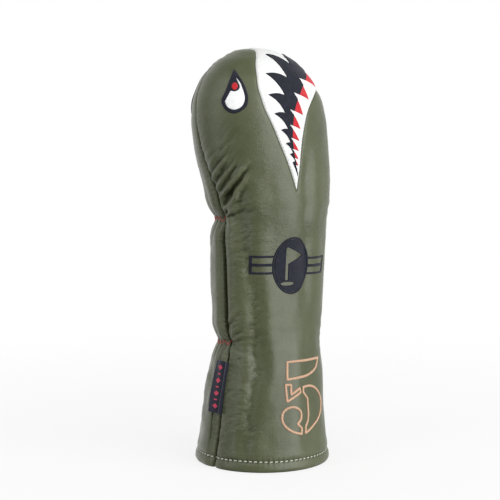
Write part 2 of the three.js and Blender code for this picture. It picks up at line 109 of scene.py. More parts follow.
def perlin(points, scale, seed):
    """Smooth noise from about -1 to 1, with features of about `scale` mm."""
    rng = np.random.default_rng(seed)
    table = rng.permutation(256)
    slopes = unit(rng.normal(size=(256, 3)))
    place = np.asarray(points) / scale
    cell = np.floor(place).astype(np.int64)
    part = place - cell
    fade = part ** 3 * (part * (part * 6 - 15) + 10)
    total = np.zeros(place.shape[:-1])
    for corner in np.ndindex(2, 2, 2):
        hashed, weight, dot = 0, 1.0, 0.0
        for k in range(3):
            hashed = table[(hashed + cell[..., k] + corner[k]) & 255]
            weight = weight * (fade[..., k] if corner[k] else 1 - fade[..., k])
        for k in range(3):
            dot = dot + (part[..., k] - corner[k]) * slopes[hashed, k]
        total += weight * dot
    return total * 1.7


def cubic_weights(t):
    """Shares of four neighbours in a smooth reading between the middle two."""
    return (
        0.5 * (-t + 2 * t ** 2 - t ** 3), 0.5 * (2 - 5 * t ** 2 + 3 * t ** 3),
        0.5 * (t + 4 * t ** 2 - 3 * t ** 3), 0.5 * (t ** 3 - t ** 2),
    )


def catmull(values, where):
    """Cubic reading of rows of `values` at fractional row numbers."""
    last = len(values) - 1
    where = np.clip(where, 0, last)
    i = np.minimum(where.astype(int), last - 1)
    t = (where - i).reshape((-1,) + (1,) * (values.ndim - 1))
    return sum(w * values[np.clip(i + k, 0, last)] for k, w in zip((-1, 0, 1, 2), cubic_weights(t)))


def blur_rows(values, sigma):
    reach = int(3 * sigma) + 1
    weights = np.exp(-0.5 * (np.arange(-reach, reach + 1) / sigma) ** 2)
    weights /= weights.sum()
    padded = np.concatenate([values[:1].repeat(reach, 0), values, values[-1:].repeat(reach, 0)])
    return sum(w * padded[k:k + len(values)] for k, w in enumerate(weights))


def spline(points, samples):
    """Smooth open curve through the points, evenly spaced in their numbers."""
    points = np.array(points, float)
    return catmull(points, np.linspace(0, len(points) - 1, samples))


def bowed(start, end, bow, samples=10):
    """A bowed line without its last point. A positive bow lies left of the way it runs."""
    start, end = np.array(start, float), np.array(end, float)
    middle = (start + end) / 2 + np.array([start[1] - end[1], end[0] - start[0]]) * bow
    t = np.arange(samples)[:, None] / samples
    return list((1 - t) ** 2 * start + 2 * t * (1 - t) * middle + t * t * end)


def evenly(points, step):
    """A closed line with a point every `step` mm."""
    points = np.array([*points, points[0]], float)
    run = run_along(points)
    count = max(int(run[-1] / step), 3)
    return read_line(points, run, np.linspace(0, run[-1], count, endpoint=False))


def inside_by(points, outline):
    """Distance to the outline, positive inside it."""
    outline = np.asarray(outline, float)
    best = np.full(len(points), 1e9)
    odd = np.zeros(len(points), bool)
    x, y = points.T
    for (x0, y0), (x1, y1) in zip(outline, np.roll(outline, -1, axis=0)):
        dx, dy = x1 - x0, y1 - y0
        t = np.clip(((x - x0) * dx + (y - y0) * dy) / max(dx * dx + dy * dy, 1e-12), 0, 1)
        best = np.minimum(best, np.hypot(x - x0 - t * dx, y - y0 - t * dy))
        if dy:
            odd ^= ((y0 > y) != (y1 > y)) & (x < x0 + (y - y0) * dx / dy)
    return np.where(odd, best, -best)


def tree_of(points, picks):
    """A search tree over the picked points."""
    tree = KDTree(len(picks))
    for i in picks:
        tree.insert(points[i], int(i))
    tree.balance()
    return tree


# ---------------------------------------------------------------- the form, read from the frame

def cad_tree(*names):
    points, faces, owners = [], [], []
    for name in names:
        mesh = frame["nodes"][name].data
        first = len(points)
        points += [v.co / MM for v in mesh.vertices]
        faces += [[first + i for i in face.vertices] for face in mesh.polygons]
        owners += [name] * len(mesh.polygons)
    return BVHTree.FromPolygons(points, faces), owners


def measure_form():
    """Centre line, radii and seam line of the CAD leather, at steps of turn and rise."""
    tree, owners = cad_tree("front_panel", "back_panel", "mouth_inset")
    far = 160.0

    def reach(origin, way):
        """Distance to the leather, measured from outside, and the panel that is met."""
        way = Vector(way)
        place, _, index, _ = tree.ray_cast(Vector(origin) + way * far, -way, far)
        if place is None:
            return math.nan, None
        return (place - Vector(origin)).length, owners[index]

    straight, dome = np.linspace(0, HEAD_LEVEL, 106), HEAD_LEVEL + DOME_RISE * np.arange(1, 31) / 30
    rises = np.concatenate([straight, dome])
    turns = -math.pi + 2 * math.pi * (np.arange(FORM_TURNS) + 0.5) / FORM_TURNS
    centres, radii, seam = [], [], []
    for rise in rises:
        level = min(max(rise, 0.4), HEAD_LEVEL)
        if rise <= HEAD_LEVEL:
            right, left = (reach((0, 5, level), (side, 0, 0))[0] for side in (1, -1))
            centre = (right - left) / 2
        climb = max(rise - HEAD_LEVEL, 0) / DOME_RISE * math.pi / 2
        origin = (centre, 0, level)

        def outwards(turn):
            return math.cos(climb) * math.cos(turn), math.cos(climb) * math.sin(turn), math.sin(climb)

        row = np.array([reach(origin, outwards(turn))[0] for turn in turns])
        typical = np.nanmedian([np.roll(row, k) for k in (-2, -1, 0, 1, 2)], axis=0)
        row = np.where(np.isnan(row) | (np.abs(row - typical) > 2), typical, row)
        centres.append(centre)
        radii.append(row)
        if rise < SEAM_TOP:
            low, high = math.radians(150), math.radians(230)
            for _ in range(12):
                middle = (low + high) / 2
                on_back = reach(origin, outwards(middle))[1] == "back_panel"
                low, high = (middle, high) if on_back else (low, middle)
            edge = reach(origin, outwards(low))[0] * outwards(low)[1]
        seam.append(edge)
    return rises, np.array(centres), np.array(radii), np.array(seam)


class Skin:
    """The outer face of the sewn leather. Arrays run over (rise, turn)."""

    def __init__(self):
        rises, centres, radii, seam = measure_form()
        waves = np.fft.rfft(blur_rows(radii, 1.1), axis=1)
        counts = np.arange(waves.shape[1])
        waves = waves * np.exp(-(counts / 13) ** 2 - 1j * counts * math.pi / FORM_TURNS)
        rise = np.linspace(0, TOP, RISES + 1)
        self.turn = -math.pi + 2 * math.pi * np.arange(TURNS) / TURNS
        rows = np.interp(rise, rises, np.arange(len(rises)))
        radius = np.fft.irfft(catmull(waves, rows), TURNS, axis=1) * (TURNS / FORM_TURNS)
        centre = catmull(blur_rows(centres, 1.5), rows)[:, None]
        self.seam = catmull(blur_rows(seam, 1.5), rows)[:, None] * np.ones((1, TURNS))
        climb = (np.maximum(rise - HEAD_LEVEL, 0) / DOME_RISE * math.pi / 2)[:, None]
        level = np.minimum(rise, HEAD_LEVEL)[:, None]
        turn = self.turn[None, :]
        ones = np.ones_like(turn)
        out = np.stack([np.cos(climb) * np.cos(turn), np.cos(climb) * np.sin(turn), np.sin(climb) * ones], -1)
        axis = np.stack([centre * ones, 0 * radius, level * ones], -1)
        self.base = axis + out * radius[..., None]
        around = np.roll(self.base, -1, 1) - np.roll(self.base, 1, 1)
        self.normal = unit(np.cross(around, np.gradient(self.base, axis=0)))
        self.normal[-6:] = out[-6:]

    def read(self, field, turn, rise):
        """Cubic reading of a field at any turns and rises."""
        column = (np.asarray(turn) + math.pi) / (2 * math.pi) * TURNS
        row = np.clip(np.asarray(rise) / TOP * RISES, 0, RISES)
        i = np.floor(column).astype(int)
        j = np.minimum(row.astype(int), RISES - 1)
        extra = (1,) * (field.ndim - 2)
        total = 0
        for dj, wv in zip((-1, 0, 1, 2), cubic_weights(row - j)):
            rows = np.clip(j + dj, 0, RISES)
            for di, wu in zip((-1, 0, 1, 2), cubic_weights(column - i)):
                total = total + field[rows, (i + di) % TURNS] * (wu * wv).reshape(wu.shape + extra)
        return total


# ---------------------------------------------------------------- artwork outlines, in the XZ plane

MOUTH_APEX = (0.3, 211.5)
MOUTH_LEFT = [MOUTH_APEX, (-7.8, 232), (-18, 254.5), (-26.5, 274), (-28.4, 290), (-24, 306), (-15.5, 317),
              (-12.5, 324)]
MOUTH_RIGHT = [MOUTH_APEX, (3.2, 231), (6.2, 253), (12, 269.5), (22.5, 281.5), (37, 289), (62, 295)]
LEFT_BORDER, RIGHT_BORDER = spline(MOUTH_LEFT, 60), spline(MOUTH_RIGHT, 60)
MOUTH_TOP = 340
THROAT_END = 221.9
TEETH = 8
JAW_END = 37
CROWN_TOOTH = (7.4, 312.7)


def shifted(points):
    return [(x + PATTERN_SHIFT, z) for x, z in points]


def mouth_outline():
    left, right = LEFT_BORDER, RIGHT_BORDER
    outline = list(right) + [(right[-1][0], MOUTH_TOP), (left[-1][0], MOUTH_TOP)] + list(left[:0:-1])
    return shifted(outline)


def tooth_level(k):
    return min(THROAT_END + 6.5 + 3.17 * k + 0.967 * k * k, 313)


def above(level):
    return max(level - THROAT_END, 0)


def border_at(border, level, highest):
    return float(np.interp(min(level, highest), border[:, 1], border[:, 0]))


def left_at(level):
    return border_at(LEFT_BORDER, level, 318)


def right_root(level):
    return left_at(level) + 5.2 + 0.0056 * above(level) ** 2


def throat_outline():
    """The jagged throat between two rows of pointed teeth."""
    start = (left_at(THROAT_END) + 4.2, THROAT_END)
    outline, at = [], start
    for k in range(1, TEETH + 1):
        root_level = tooth_level(k) - 1.5 - 0.24 * k * k
        tip_level = root_level - 0.75 * k
        root = (right_root(root_level), root_level)
        right = border_at(RIGHT_BORDER, tip_level, 290)
        tip = (min(right - 1.4 - 0.07 * above(tip_level), JAW_END), tip_level)
        outline += bowed(at, root, -0.1) + bowed(root, tip, 0.03)
        at = tip
    outline += [at, (JAW_END + 6, MOUTH_TOP), (18, MOUTH_TOP), (16, 316)]
    at = CROWN_TOOTH
    for k in range(TEETH, 0, -1):
        tip_level = tooth_level(k)
        root_level = tip_level + 0.8 - 0.85 * max(k - 5, 0) ** 2
        rise = above(root_level)
        root = (left_at(root_level) + 5 + 0.08 * rise + 0.0025 * rise ** 2, root_level)
        tip = (left_at(tip_level) + 3.3 + 0.04 * above(tip_level), tip_level)
        outline += bowed(at, root, 0.17) + bowed(root, tip, -0.2)
        at = tip
    outline += bowed(at, start, 0.05)
    return shifted(outline)


def gum_edge():
    """The line right of which the gum shows."""
    edge = [(right_root(z) + 0.8 + 0.0017 * above(z) ** 2, z) for z in np.arange(THROAT_END - 4, 300, 4)]
    return np.array(shifted(edge + [(27, 306), (28, MOUTH_TOP)]))


# ---------------------------------------------------------------- heights of the leather

# Puckers: start and end as places across and up the front's left corner, height and width.
PUCKERS = (
    ((-28.7, 209.8), (-12.5, 230.5), 1.7, 1.7), ((-28.5, 205.5), (-12, 226.5), -2.4, 2.2),
    ((-30, 200), (-23, 212), -2.6, 2.8), ((-22, 205), (-13, 225), 1.5, 2.8),
    ((-35.6, 211.5), (-22, 232), 0.8, 1.5), ((-34, 208), (-21, 229), -0.9, 1.6),
    ((-39.8, 217), (-27, 236), 0.6, 1.5), ((-37.5, 214), (-25.5, 233), -0.7, 1.5),
    ((-42.5, 226), (-33, 241), 0.4, 1.6), ((-41, 221.5), (-30, 238), -0.5, 1.6),
    ((-30, 196), (-20, 190), -1.2, 2.4), ((-29, 190), (-20, 182), 0.7, 2.2),
    ((-31, 103), (-22, 113), -1.0, 2.0), ((-30, 107), (-19, 121), 0.7, 1.8),
    ((-30, 99), (-19, 92), -0.8, 2.0), ((-30, 95), (-20, 84), 0.6, 1.8),
)
FOLD_LEVELS = (27, 50, 70, 92, 130, 145, 168, 186, 213)
FOLD_LINE = (-7.2, -4.8, -1, -1, -2.5, -4.8, -8.7, -10.2, -11.8)
# Soft folds of the front: from level, to level, softness, height, place across, width, waver.
FOLDS = (
    (128, 242, 14, -1.25, 32.5, 4, 1.2), (128, 242, 14, 0.7, 40.5, 4.5, 0),
    (12, 92, 14, 1.5, 25, 9, 0), (12, 92, 14, -1.5, 0, 8, 0),
    (14, 118, 12, -0.6, 36, 5, 1.5), (14, 118, 12, 0.4, 26, 6, 0),
)


def padding_lift(at):
    """Broad uneven padding over the CAD form, and shallow hand-sized waves."""
    full = smoothstep(8, 30, at.x) * smoothstep(20, 60, at.z) * at.below_head
    broad = perlin(at.base * (1, 1, 0.45), 30, 1) * smoothstep(0, 40, at.z) * (0.45 + 0.55 * at.below_head)
    small = perlin(at.base * (1, 1, 0.7), 11, 2) * smoothstep(2, 20, at.z) * (0.35 + 0.65 * at.below_head)
    return 0.6 + 0.5 * full + 0.9 * broad + 0.28 * small


def seam_lift(at):
    """Both panels roll in to the side seams, deepest between the two waists on the left."""
    waist = window(100, 180, 9, at.z) * at.left
    groove = (0.55 + 1.7 * at.below_head + 2.8 * waist) * bump(0, 1.25 + waist, at.past_seam - 1.1 * waist)
    groove += (0.25 + 0.95 * at.below_head) * bump(0, 5.5, at.off_seam)
    shoulders = waist * (0.9 * bump(-6.5, 4, at.past_seam) + 0.7 * bump(7, 4, at.past_seam))
    needle = np.sin(at.z * 2 * math.pi / 3.6 + 2.2 * at.warp) * bump(3, 3.2, at.off_seam)
    return shoulders - groove + 0.16 * needle * smoothstep(8, 20, at.z)


def band_lift(at):
    """At each elastic band a sharp waist on the back panel, with gathers that fade out above and below."""
    lift = 0.0
    phase = at.length * 2 * math.pi / 6.2 + 2.6 * at.warp + 0.8 * np.sin(at.length / 5)
    pleat = (np.abs(np.sin(phase / 2)) ** 0.7 * 2 - 1.2) * (0.65 + 0.35 * at.fine_warp)
    for level, strength in ((UPPER_BAND, 1.0), (LOWER_BAND, 0.85)):
        away = at.z - level
        waist = 0.9 * (bump(13, 7, away) + bump(-13, 7, away)) - 1.9 * bump(0, 4.4, away + 1.2 * at.warp)
        gathers = 0.8 * pleat * bump(0, 11, away) + 0.35 * np.sin(phase * 0.53 + 1) * bump(0, 24, away)
        lift = lift + strength * ((at.back + 0.35 * bump(0, 7, at.off_seam)) * waist + at.back * gathers)
    return lift


def fan_lift(at):
    """Puckers that fan out from the waists over the front panel, away from the seam."""
    lift = 0.0
    for level, strength, turn_up in ((UPPER_BAND, 1.0, 1), (LOWER_BAND, 0.55, 1), (LOWER_BAND, 0.4, -1)):
        along, up = -at.past_seam, (at.z - level) * turn_up
        spread = np.hypot(along, up)
        bearing = np.arctan2(up, np.maximum(along, 0.01))
        fan = np.sin(bearing * 13 + 1.6 * at.warp + 0.04 * spread) * window(0.12, 1.35, 0.25, bearing)
        fan = fan * bump(0, 27, spread) * (1 - bump(0, 5, spread)) * (0.55 + 0.45 * at.left)
        lift = lift + strength * at.front * (0.75 * fan - 1.1 * bump(0, 6, spread) * at.left)
    return lift


def pucker_lift(at):
    """The deep puckers beside the waists, and the gathered streaks over the upper one."""
    lift = 0.0
    for (a, b), (c, d), height, width in PUCKERS:
        run = math.hypot(c - a, d - b)
        t = ((at.across - a) * (c - a) + (at.z - b) * (d - b)) / run ** 2
        off = ((at.across - a) * (d - b) - (at.z - b) * (c - a)) / run + 0.7 * at.fine_warp
        lift = lift + height * bump(0, width, off) * smoothstep(-0.12, 0.18, t) * smoothstep(1.25, 0.6, t)
    gathered = window(197, 262, 12, at.z) * window(-47, -14, 8, at.across) * (0.8 + 0.8 * at.warp)
    streaks = np.stack([0.8 * at.across - 0.6 * at.z, 0.15 * at.across + 0.2 * at.z, 0 * at.z], -1)
    return at.front * (1.35 * lift + 0.42 * gathered * perlin(streaks, 3.0, 8))


def fold_lift(at):
    """Long soft folds. One wanders down the front's left corner."""
    wandering = np.interp(at.z, FOLD_LEVELS, FOLD_LINE) + 1.5 * at.warp
    lift = 0.0
    for height, aside, width in ((1.25, 6.5, 6.5), (-1.3, -5, 5), (0.8, -12, 5)):
        lift = lift + window(10, 212, 12, at.z) * height * bump(wandering + aside, width, at.across)
    for low, high, soft, height, middle, width, waver in FOLDS:
        fold = height * bump(middle, width, at.across + waver * at.warp)
        lift = lift + window(low, high, soft, at.z) * fold
    skirt = window(12, 80, 12, at.z) * 0.7 * np.sin(at.length / 9 + 1.5 * at.warp)
    return at.front * lift + at.back * skirt


def creasing(at):
    """How creased the leather is: most where it is bent over the padding."""
    creased = window(14, 214, 14, at.z) * at.front * window(-34, -2, 9, at.across)
    creased += 0.5 * window(150, 250, 12, at.z) * at.front * bump(10, 22, at.off_seam)
    creased += 0.5 * window(12, 60, 8, at.z) * bump(5, 8, at.off_seam) + 0.45 * at.back * at.below_head
    return np.clip(creased * (0.8 + 1.1 * at.warp), 0, 1.25)


def crease_lift(at):
    """Short cross creases, and a faint unevenness everywhere."""
    slanted = np.stack([at.x * 0.4, at.y * 0.4, at.z - 0.35 * at.across], -1)
    lift = 0.34 * perlin(slanted, 3.8, 5) + 0.22 * perlin(slanted * (1.1, 1.1, 1), 2.6, 6)
    return at.creased * lift + 0.04 * perlin(at.base, 3.4, 7)


def hem_lift(at):
    """A rolled edge, and a stitch line pulled in at every stitch."""
    pulled = 0.16 * np.cos(at.length * HEM_STRETCH * 2 * math.pi / STITCH_PITCH)
    roll = 0.2 * bump(4, 2.4, at.z) + 0.25 * bump(HEM_STITCH + 5, 3, at.z)
    roll -= np.maximum(1 - at.z / 2.2, 0) ** 2
    return roll + pulled * bump(HEM_STITCH, 2.6, at.z) - 0.75 * bump(HEM_STITCH, 1.6, at.z)


def border_lift(at):
    """Where the white inset meets the olive leather, both are turned under."""
    near = at.z > 196
    edge = np.full(at.z.shape, 30.0)
    edge[near] = inside_by(at.base[near][:, (0, 2)], mouth_outline())
    return -0.55 * bump(0, 0.75, edge) - 0.25 * bump(0, 2.4, edge)


def shape_leather(skin):
    """Raises and lowers the skin by what sewing, elastic and handling do to leather."""
    x, y, z = np.moveaxis(skin.base, -1, 0)
    past_seam = y - skin.seam                      # positive on the back panel
    at = SimpleNamespace(
        base=skin.base, x=x, y=y, z=z, past_seam=past_seam, off_seam=np.abs(past_seam),
        left=smoothstep(8, -8, x), below_head=1 - smoothstep(225, 262, z),
        front=smoothstep(1.5, -1.5, past_seam), back=smoothstep(-1.5, 1.5, past_seam),
        warp=perlin(skin.base, 14, 11), fine_warp=perlin(skin.base, 6, 12),
        across=0.819 * (x - PATTERN_SHIFT) - 0.574 * y,       # sideways, seen from the front's left corner
        length=skin.turn[None, :] * SKIN_RADIUS,
    )
    at.creased = creasing(at)
    lift = sum(part(at) for part in (
        padding_lift, seam_lift, band_lift, fan_lift, pucker_lift, fold_lift, crease_lift, hem_lift,
        border_lift))
    low = blur_rows(np.pad(blur_rows(lift, 4), ((0, 0), (12, 12)), "wrap").T, 4).T[:, 12:-12]
    skin.crease = at.creased
    skin.place = skin.base + skin.normal * lift[..., None]
    skin.soft = skin.base + skin.normal * np.minimum(low, lift + 0.6)[..., None]
    skin.ridge = np.clip((lift - low) * 1.4 + 0.5, 0, 1)


skin = Skin()
shape_leather(skin)


# ---------------------------------------------------------------- pieces cut from the skin

class Patch:
    """A triangle net over part of the skin. `at` holds the turn and rise of each of its points."""

    def __init__(self, turns, rises):
        """Takes turns and rises as low, high and count."""
        turn, rise = np.meshgrid(np.linspace(*turns), np.linspace(*rises))
        index = np.arange(turn.size).reshape(turn.shape)
        corners = (index[:-1, :-1], index[:-1, 1:], index[1:, 1:], index[1:, :-1])
        a, b, c, d = (corner.ravel() for corner in corners)
        self.at = np.stack([turn.ravel(), rise.ravel()], 1)
        self.tris = np.concatenate([np.stack([a, b, c], 1), np.stack([a, c, d], 1)])

    def read(self, field):
        return skin.read(field, self.at[:, 0], self.at[:, 1])

    def flat(self):
        """Where the points lie in the artwork's plane, seen from the front."""
        return self.read(skin.base)[:, (0, 2)]

    def past_seam(self):
        return self.read(skin.base)[:, 1] - self.read(skin.seam)

    def cut(self, value):
        """Keeps what has value > 0, with an even edge along value = 0."""
        inside = value > 0
        count = inside[self.tris].sum(1)
        mixed = self.tris[(count == 1) | (count == 2)]
        one_in = inside[mixed].sum(1) == 1
        first = np.argmax(inside[mixed] == one_in[:, None], axis=1)
        lone, b, c = (mixed[np.arange(len(mixed)), (first + k) % 3] for k in range(3))
        ends = np.sort(np.concatenate([np.stack([lone, b], 1), np.stack([lone, c], 1)]), axis=1)
        ends, which = np.unique(ends, axis=0, return_inverse=True)
        low, high = value[ends].T
        t = (low / np.where(low == high, 1, low - high))[:, None]
        crossings = self.at[ends[:, 0]] * (1 - t) + self.at[ends[:, 1]] * t
        to_b, to_c = np.split(len(self.at) + which.ravel(), 2)
        self.tris = np.concatenate([
            self.tris[count == 3], np.stack([lone, to_b, to_c], 1)[one_in],
            np.stack([to_b, b, c], 1)[~one_in], np.stack([to_b, c, to_c], 1)[~one_in]])
        self.at = np.concatenate([self.at, crossings])
        return self.tidy()

    def tidy(self):
        """Joins points that lie on one place, as at the crown, and drops unused ones."""
        key = np.round(self.read(skin.base) / 2e-3).astype(np.int64)
        _, first, joined = np.unique(key, axis=0, return_index=True, return_inverse=True)
        tris = joined.ravel()[self.tris]
        tris = tris[(tris != np.roll(tris, 1, 1)).all(1)]
        used, packed = np.unique(tris, return_inverse=True)
        self.at = self.at[first][used]
        self.tris = packed.reshape(tris.shape)
        return self

    def rim(self):
        """Edges with one triangle, running as that triangle runs."""
        edges = np.concatenate([self.tris[:, (0, 1)], self.tris[:, (1, 2)], self.tris[:, (2, 0)]])
        _, which, count = np.unique(np.sort(edges, axis=1), axis=0, return_inverse=True, return_counts=True)
        return edges[count[which.ravel()] == 1]

    def from_rim(self):
        """Distance of each point from the nearest point of the rim."""
        place = self.read(skin.base)
        tree = tree_of(place, np.unique(self.rim()))
        return np.array([tree.find(p)[2] for p in place])


def new_piece(name, points, faces, material, slot, replaces=None, body="cover", sharp=55, **values):
    """A mesh object in metres, which replaces the CAD node of its name if no others are given."""
    mesh = bpy.data.meshes.new(name)
    mesh.vertices.add(len(points))
    mesh.vertices.foreach_set("co", (np.asarray(points) * MM).astype(np.float32).ravel())
    loops = np.concatenate([np.asarray(f).ravel() for f in faces])
    sizes = np.concatenate([np.full(len(f), np.asarray(f).shape[1]) for f in faces])
    mesh.loops.add(len(loops))
    mesh.loops.foreach_set("vertex_index", loops.astype(np.int32))
    mesh.polygons.add(len(sizes))
    mesh.polygons.foreach_set("loop_start", np.concatenate([[0], np.cumsum(sizes)[:-1]]).astype(np.int32))
    mesh.update(calc_edges=True)
    mesh.validate()
    mesh.polygons.foreach_set("use_smooth", np.ones(len(mesh.polygons), bool))
    mesh.set_sharp_from_angle(angle=math.radians(sharp))
    for key, value in values.items():
        attribute = mesh.attributes.new(key, "FLOAT", "POINT")
        attribute.data.foreach_set("value", np.asarray(value, np.float32).ravel())
    mesh.materials.append(material)
    piece = bpy.data.objects.new(name, mesh)
    bpy.context.scene.collection.objects.link(piece)
    if body:
        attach(piece, body)
    nodes = (name,) if replaces is None else replaces
    if nodes:
        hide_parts(*nodes)
    return piece


def join_parts(parts):
    """Points and faces of several parts, each given as points, quads and triangles."""
    points, quads, tris, first = [], [], [], 0
    for some, four_sided, three_sided in parts:
        points.append(some)
        quads.append(four_sided + first)
        tris.append(three_sided + first)
        first += len(some)
    return np.concatenate(points), [np.concatenate(quads), np.concatenate(tris)]


def sheet(name, patch, outer, inner, material, slot, ground=None, **values):
    """A closed piece of the skin between two heights over the ground, which is the leather's face."""
    place = patch.read(skin.place if ground is None else ground)
    normal = unit(patch.read(skin.normal))
    count = len(place)
    heights = (np.broadcast_to(height, count)[:, None] for height in (outer, inner))
    points = np.concatenate([place + normal * height for height in heights])
    points[:, 2] = np.maximum(points[:, 2], 0)
    a, b = patch.rim().T
    faces = [patch.tris, patch.tris[:, ::-1] + count, np.stack([a, a + count, b + count, b], 1)]
    doubled = {key: np.concatenate([value, value]) for key, value in values.items()}
    new_piece(name, points, faces, material, slot, **doubled)


def embroidered(name, patch, material, slot, reach, rim, crown, inner=-0.2, edge_row=(0, 0, 1)):
    """Padded stitching: `rim` high at its edge, rounding up to `crown` at `reach` inside.

    The edge row is given as its height, its distance from the rim and its width.
    """
    distance = patch.from_rim()
    t = np.clip(distance / reach, 0, 1)
    height = rim + (crown - rim) * np.sqrt(1 - (1 - t) ** 2)
    proud, inset, width = edge_row
    sheet(name, patch, height + proud * bump(inset, width, distance), inner, material, slot)


FULL_TURN = (-math.pi, math.pi)
FRONT_TURNS = (-math.pi - 0.3, 0.3)
BACK_TURNS = (-0.3, math.pi + 0.3)
LEATHER_THICKNESS = 1.2
HALF_GAP = 0.05                    # from a cut edge of the leather to the middle of the joint


def leather_panels(leather):
    for name, turns, side in (("front_panel", FRONT_TURNS, -1), ("back_panel", BACK_TURNS, 1)):
        patch = Patch((*turns, 214), (0, TOP, 306))
        patch.cut(side * patch.past_seam() - HALF_GAP)
        patch.cut(-inside_by(patch.flat(), mouth_outline()) - HALF_GAP)
        sheet(name, patch, 0, -LEATHER_THICKNESS, leather, "olive_leather", ridge=patch.read(skin.ridge),
              crease=patch.read(skin.crease))


def mouth_pieces(white, red, navy):
    inset = Patch((*FULL_TURN, 561), (200, TOP, 190)).tidy()
    inset.cut(inside_by(inset.flat(), mouth_outline()) - HALF_GAP)
    sheet("mouth_inset", inset, 0.1, -LEATHER_THICKNESS, white, "white_leather", ridge=inset.read(skin.ridge))
    throat = Patch((*FULL_TURN, 781), (214, TOP, 300)).tidy()
    throat.cut(inside_by(throat.flat(), throat_outline()))
    embroidered("mouth_gum", throat, red, "red_embroidery", 0.8, 0.1, 0.42, inner=-0.3)
    edge, flat = gum_edge(), throat.flat()
    throat.cut(np.interp(flat[:, 1], edge[:, 1], edge[:, 0]) - flat[:, 0])
    embroidered("mouth_throat", throat, navy, "navy_embroidery", 0.5, 0.25, 0.75, edge_row=(0.28, 0.55, 0.5))


# ---------------------------------------------------------------- eyes, badge and figure

EYE_CENTRE = (-44.6, 27.2, 278.5)
EYE_TURN = math.radians(-43)
EYE_DROP = [(-1.8, 23), (5.9, 12.6), (9.9, 1.4), (7.8, -6), (0.2, -10), (-6.2, -7.6), (-9.9, -0.8), (-7.3, 6),
            (-4.8, 13.4), (-1.8, 23)]
EYE_WHITE = [(0.4, 16.4), (4.1, 11.4), (7.4, 1.4), (5.3, -4.8), (0.1, -7.1), (-4.9, -5.3), (-7.1, -1)]
EYE_BITE = [(-3, 6.6), (-0.2, 6), (2.4, 7), (3.5, 9.4), (2.2, 12.6)]
PUPIL_MIDDLE, PUPIL_RADII = (-0.2, 9.7), (2.3, 2.7)


def cheek_flat(place, side):
    """Places near an eye in the eye's own plane, sideways and up."""
    x = place[:, 0] - EYE_CENTRE[0] - PATTERN_SHIFT
    y = place[:, 1] * side - EYE_CENTRE[1]
    return np.stack([x * math.cos(EYE_TURN) - y * math.sin(EYE_TURN), place[:, 2] - EYE_CENTRE[2]], 1)


def eye_pieces(navy, white, red):
    hole = np.concatenate([spline(EYE_WHITE, 90), spline(EYE_BITE, 24)])
    turn = np.linspace(0, 2 * math.pi, 40, endpoint=False)
    pupil = PUPIL_MIDDLE + PUPIL_RADII * np.stack([np.cos(turn), np.sin(turn)], 1)
    for name, side in (("front", -1), ("back", 1)):

        def cheek(outline, grow=0.0):
            middle, spread = side * math.radians(143), 0.42
            patch = Patch((middle - spread, middle + spread, 190), (262, 312, 230))
            return patch.cut(inside_by(cheek_flat(patch.read(skin.base), side), outline) + grow)

        rim = cheek(spline(EYE_DROP, 120))
        rim.cut(-inside_by(cheek_flat(rim.read(skin.base), side), hole))
        embroidered(f"eye_outline_{name}", rim, navy, "navy_embroidery", 1.0, 0.1, 0.75)
        embroidered(f"eye_white_{name}", cheek(hole, 0.12), white, "white_embroidery", 1.2, 0.1, 0.5)
        embroidered(f"eye_pupil_{name}", cheek(pupil), red, "red_embroidery", 0.9, 0.6, 1.05, inner=0.1)


BADGE = (0.5, 154.6)
BADGE_HALF, BADGE_HEIGHT, BADGE_RING, BADGE_MOAT = 16.2, 22, 1.6, 0.15
PENNANT = [(-5.6, -11), (-3.4, -11), (-3.4, 1.5), (9.4, 7.6), (-3.4, 13.8), (-5.6, 13.8)]
# Bars: outer end at the bottom and at the top, lowest and highest level, width of the outer rim.
BARS = {"left": (-30.9, -30.9, -6.1, 8.1, 1.8), "right": (33, 36.6, -7.9, 5.8, -1.8)}


def oval(at, inwards):
    half, height = BADGE_HALF - inwards, BADGE_HEIGHT - inwards
    far = np.hypot(at[:, 0] / half, at[:, 1] / height)
    slope = np.hypot(at[:, 0] / half ** 2, at[:, 1] / height ** 2) / np.maximum(far, 1e-6)
    return (1 - far) / np.maximum(slope, 1e-3)


def badge_ring(at):
    return np.minimum(oval(at, 0), -oval(at, BADGE_RING))


def badge_disc(at):
    """The disc, with a pennant and the ground below it left open."""
    ground = (1 - np.hypot((at[:, 0] + 3.6) / 5.6, (at[:, 1] + 13.8) / 1.4)) * 1.4
    return np.minimum(oval(at, BADGE_RING + BADGE_MOAT), -np.maximum(inside_by(at, PENNANT), ground))


def badge_bar(at, side):
    """A bar beside the badge, with two slots left open."""
    x0, x1, low, high, rim = BARS[side]
    middle, mid_x = (low + high) / 2, (x0 + x1) / 2

    def box(a, b, z0, z1):
        inside = inside_by(at, [(0, z0), (a, z0), (b, z1), (0, z1)])
        return np.where(at[:, 0] < 0, inside, -9) if x0 < 0 else inside

    under = box(x0 + rim, mid_x + rim, low + 1.7, middle - 1.1)
    over = box(mid_x + rim, x1 + rim, middle + 1.1, high - 1.7)
    return np.minimum(np.minimum(box(x0, x1, low, high), -np.maximum(under, over)), -oval(at, -0.12))


def badge_pieces(navy):
    across = (1.0 - math.pi, -1.0)
    for name, shape, turns, edge_row in (
            ("ring", badge_ring, across, (0, 0, 1)), ("disc", badge_disc, across, (0.14, 0.7, 0.55)),
            ("bar_left", lambda at: badge_bar(at, "left"), (0.5 - math.pi, -1.6), (0, 0, 1)),
            ("bar_right", lambda at: badge_bar(at, "right"), (-1.6, -0.5), (0, 0, 1))):
        patch = Patch((*turns, 330), (128, 182, 270))
        patch.cut(shape(patch.flat() - (BADGE[0] + PATTERN_SHIFT, BADGE[1])))
        embroidered(f"badge_{name}", patch, navy, "navy_embroidery", 0.8, 0.1, 0.55, edge_row=edge_row)


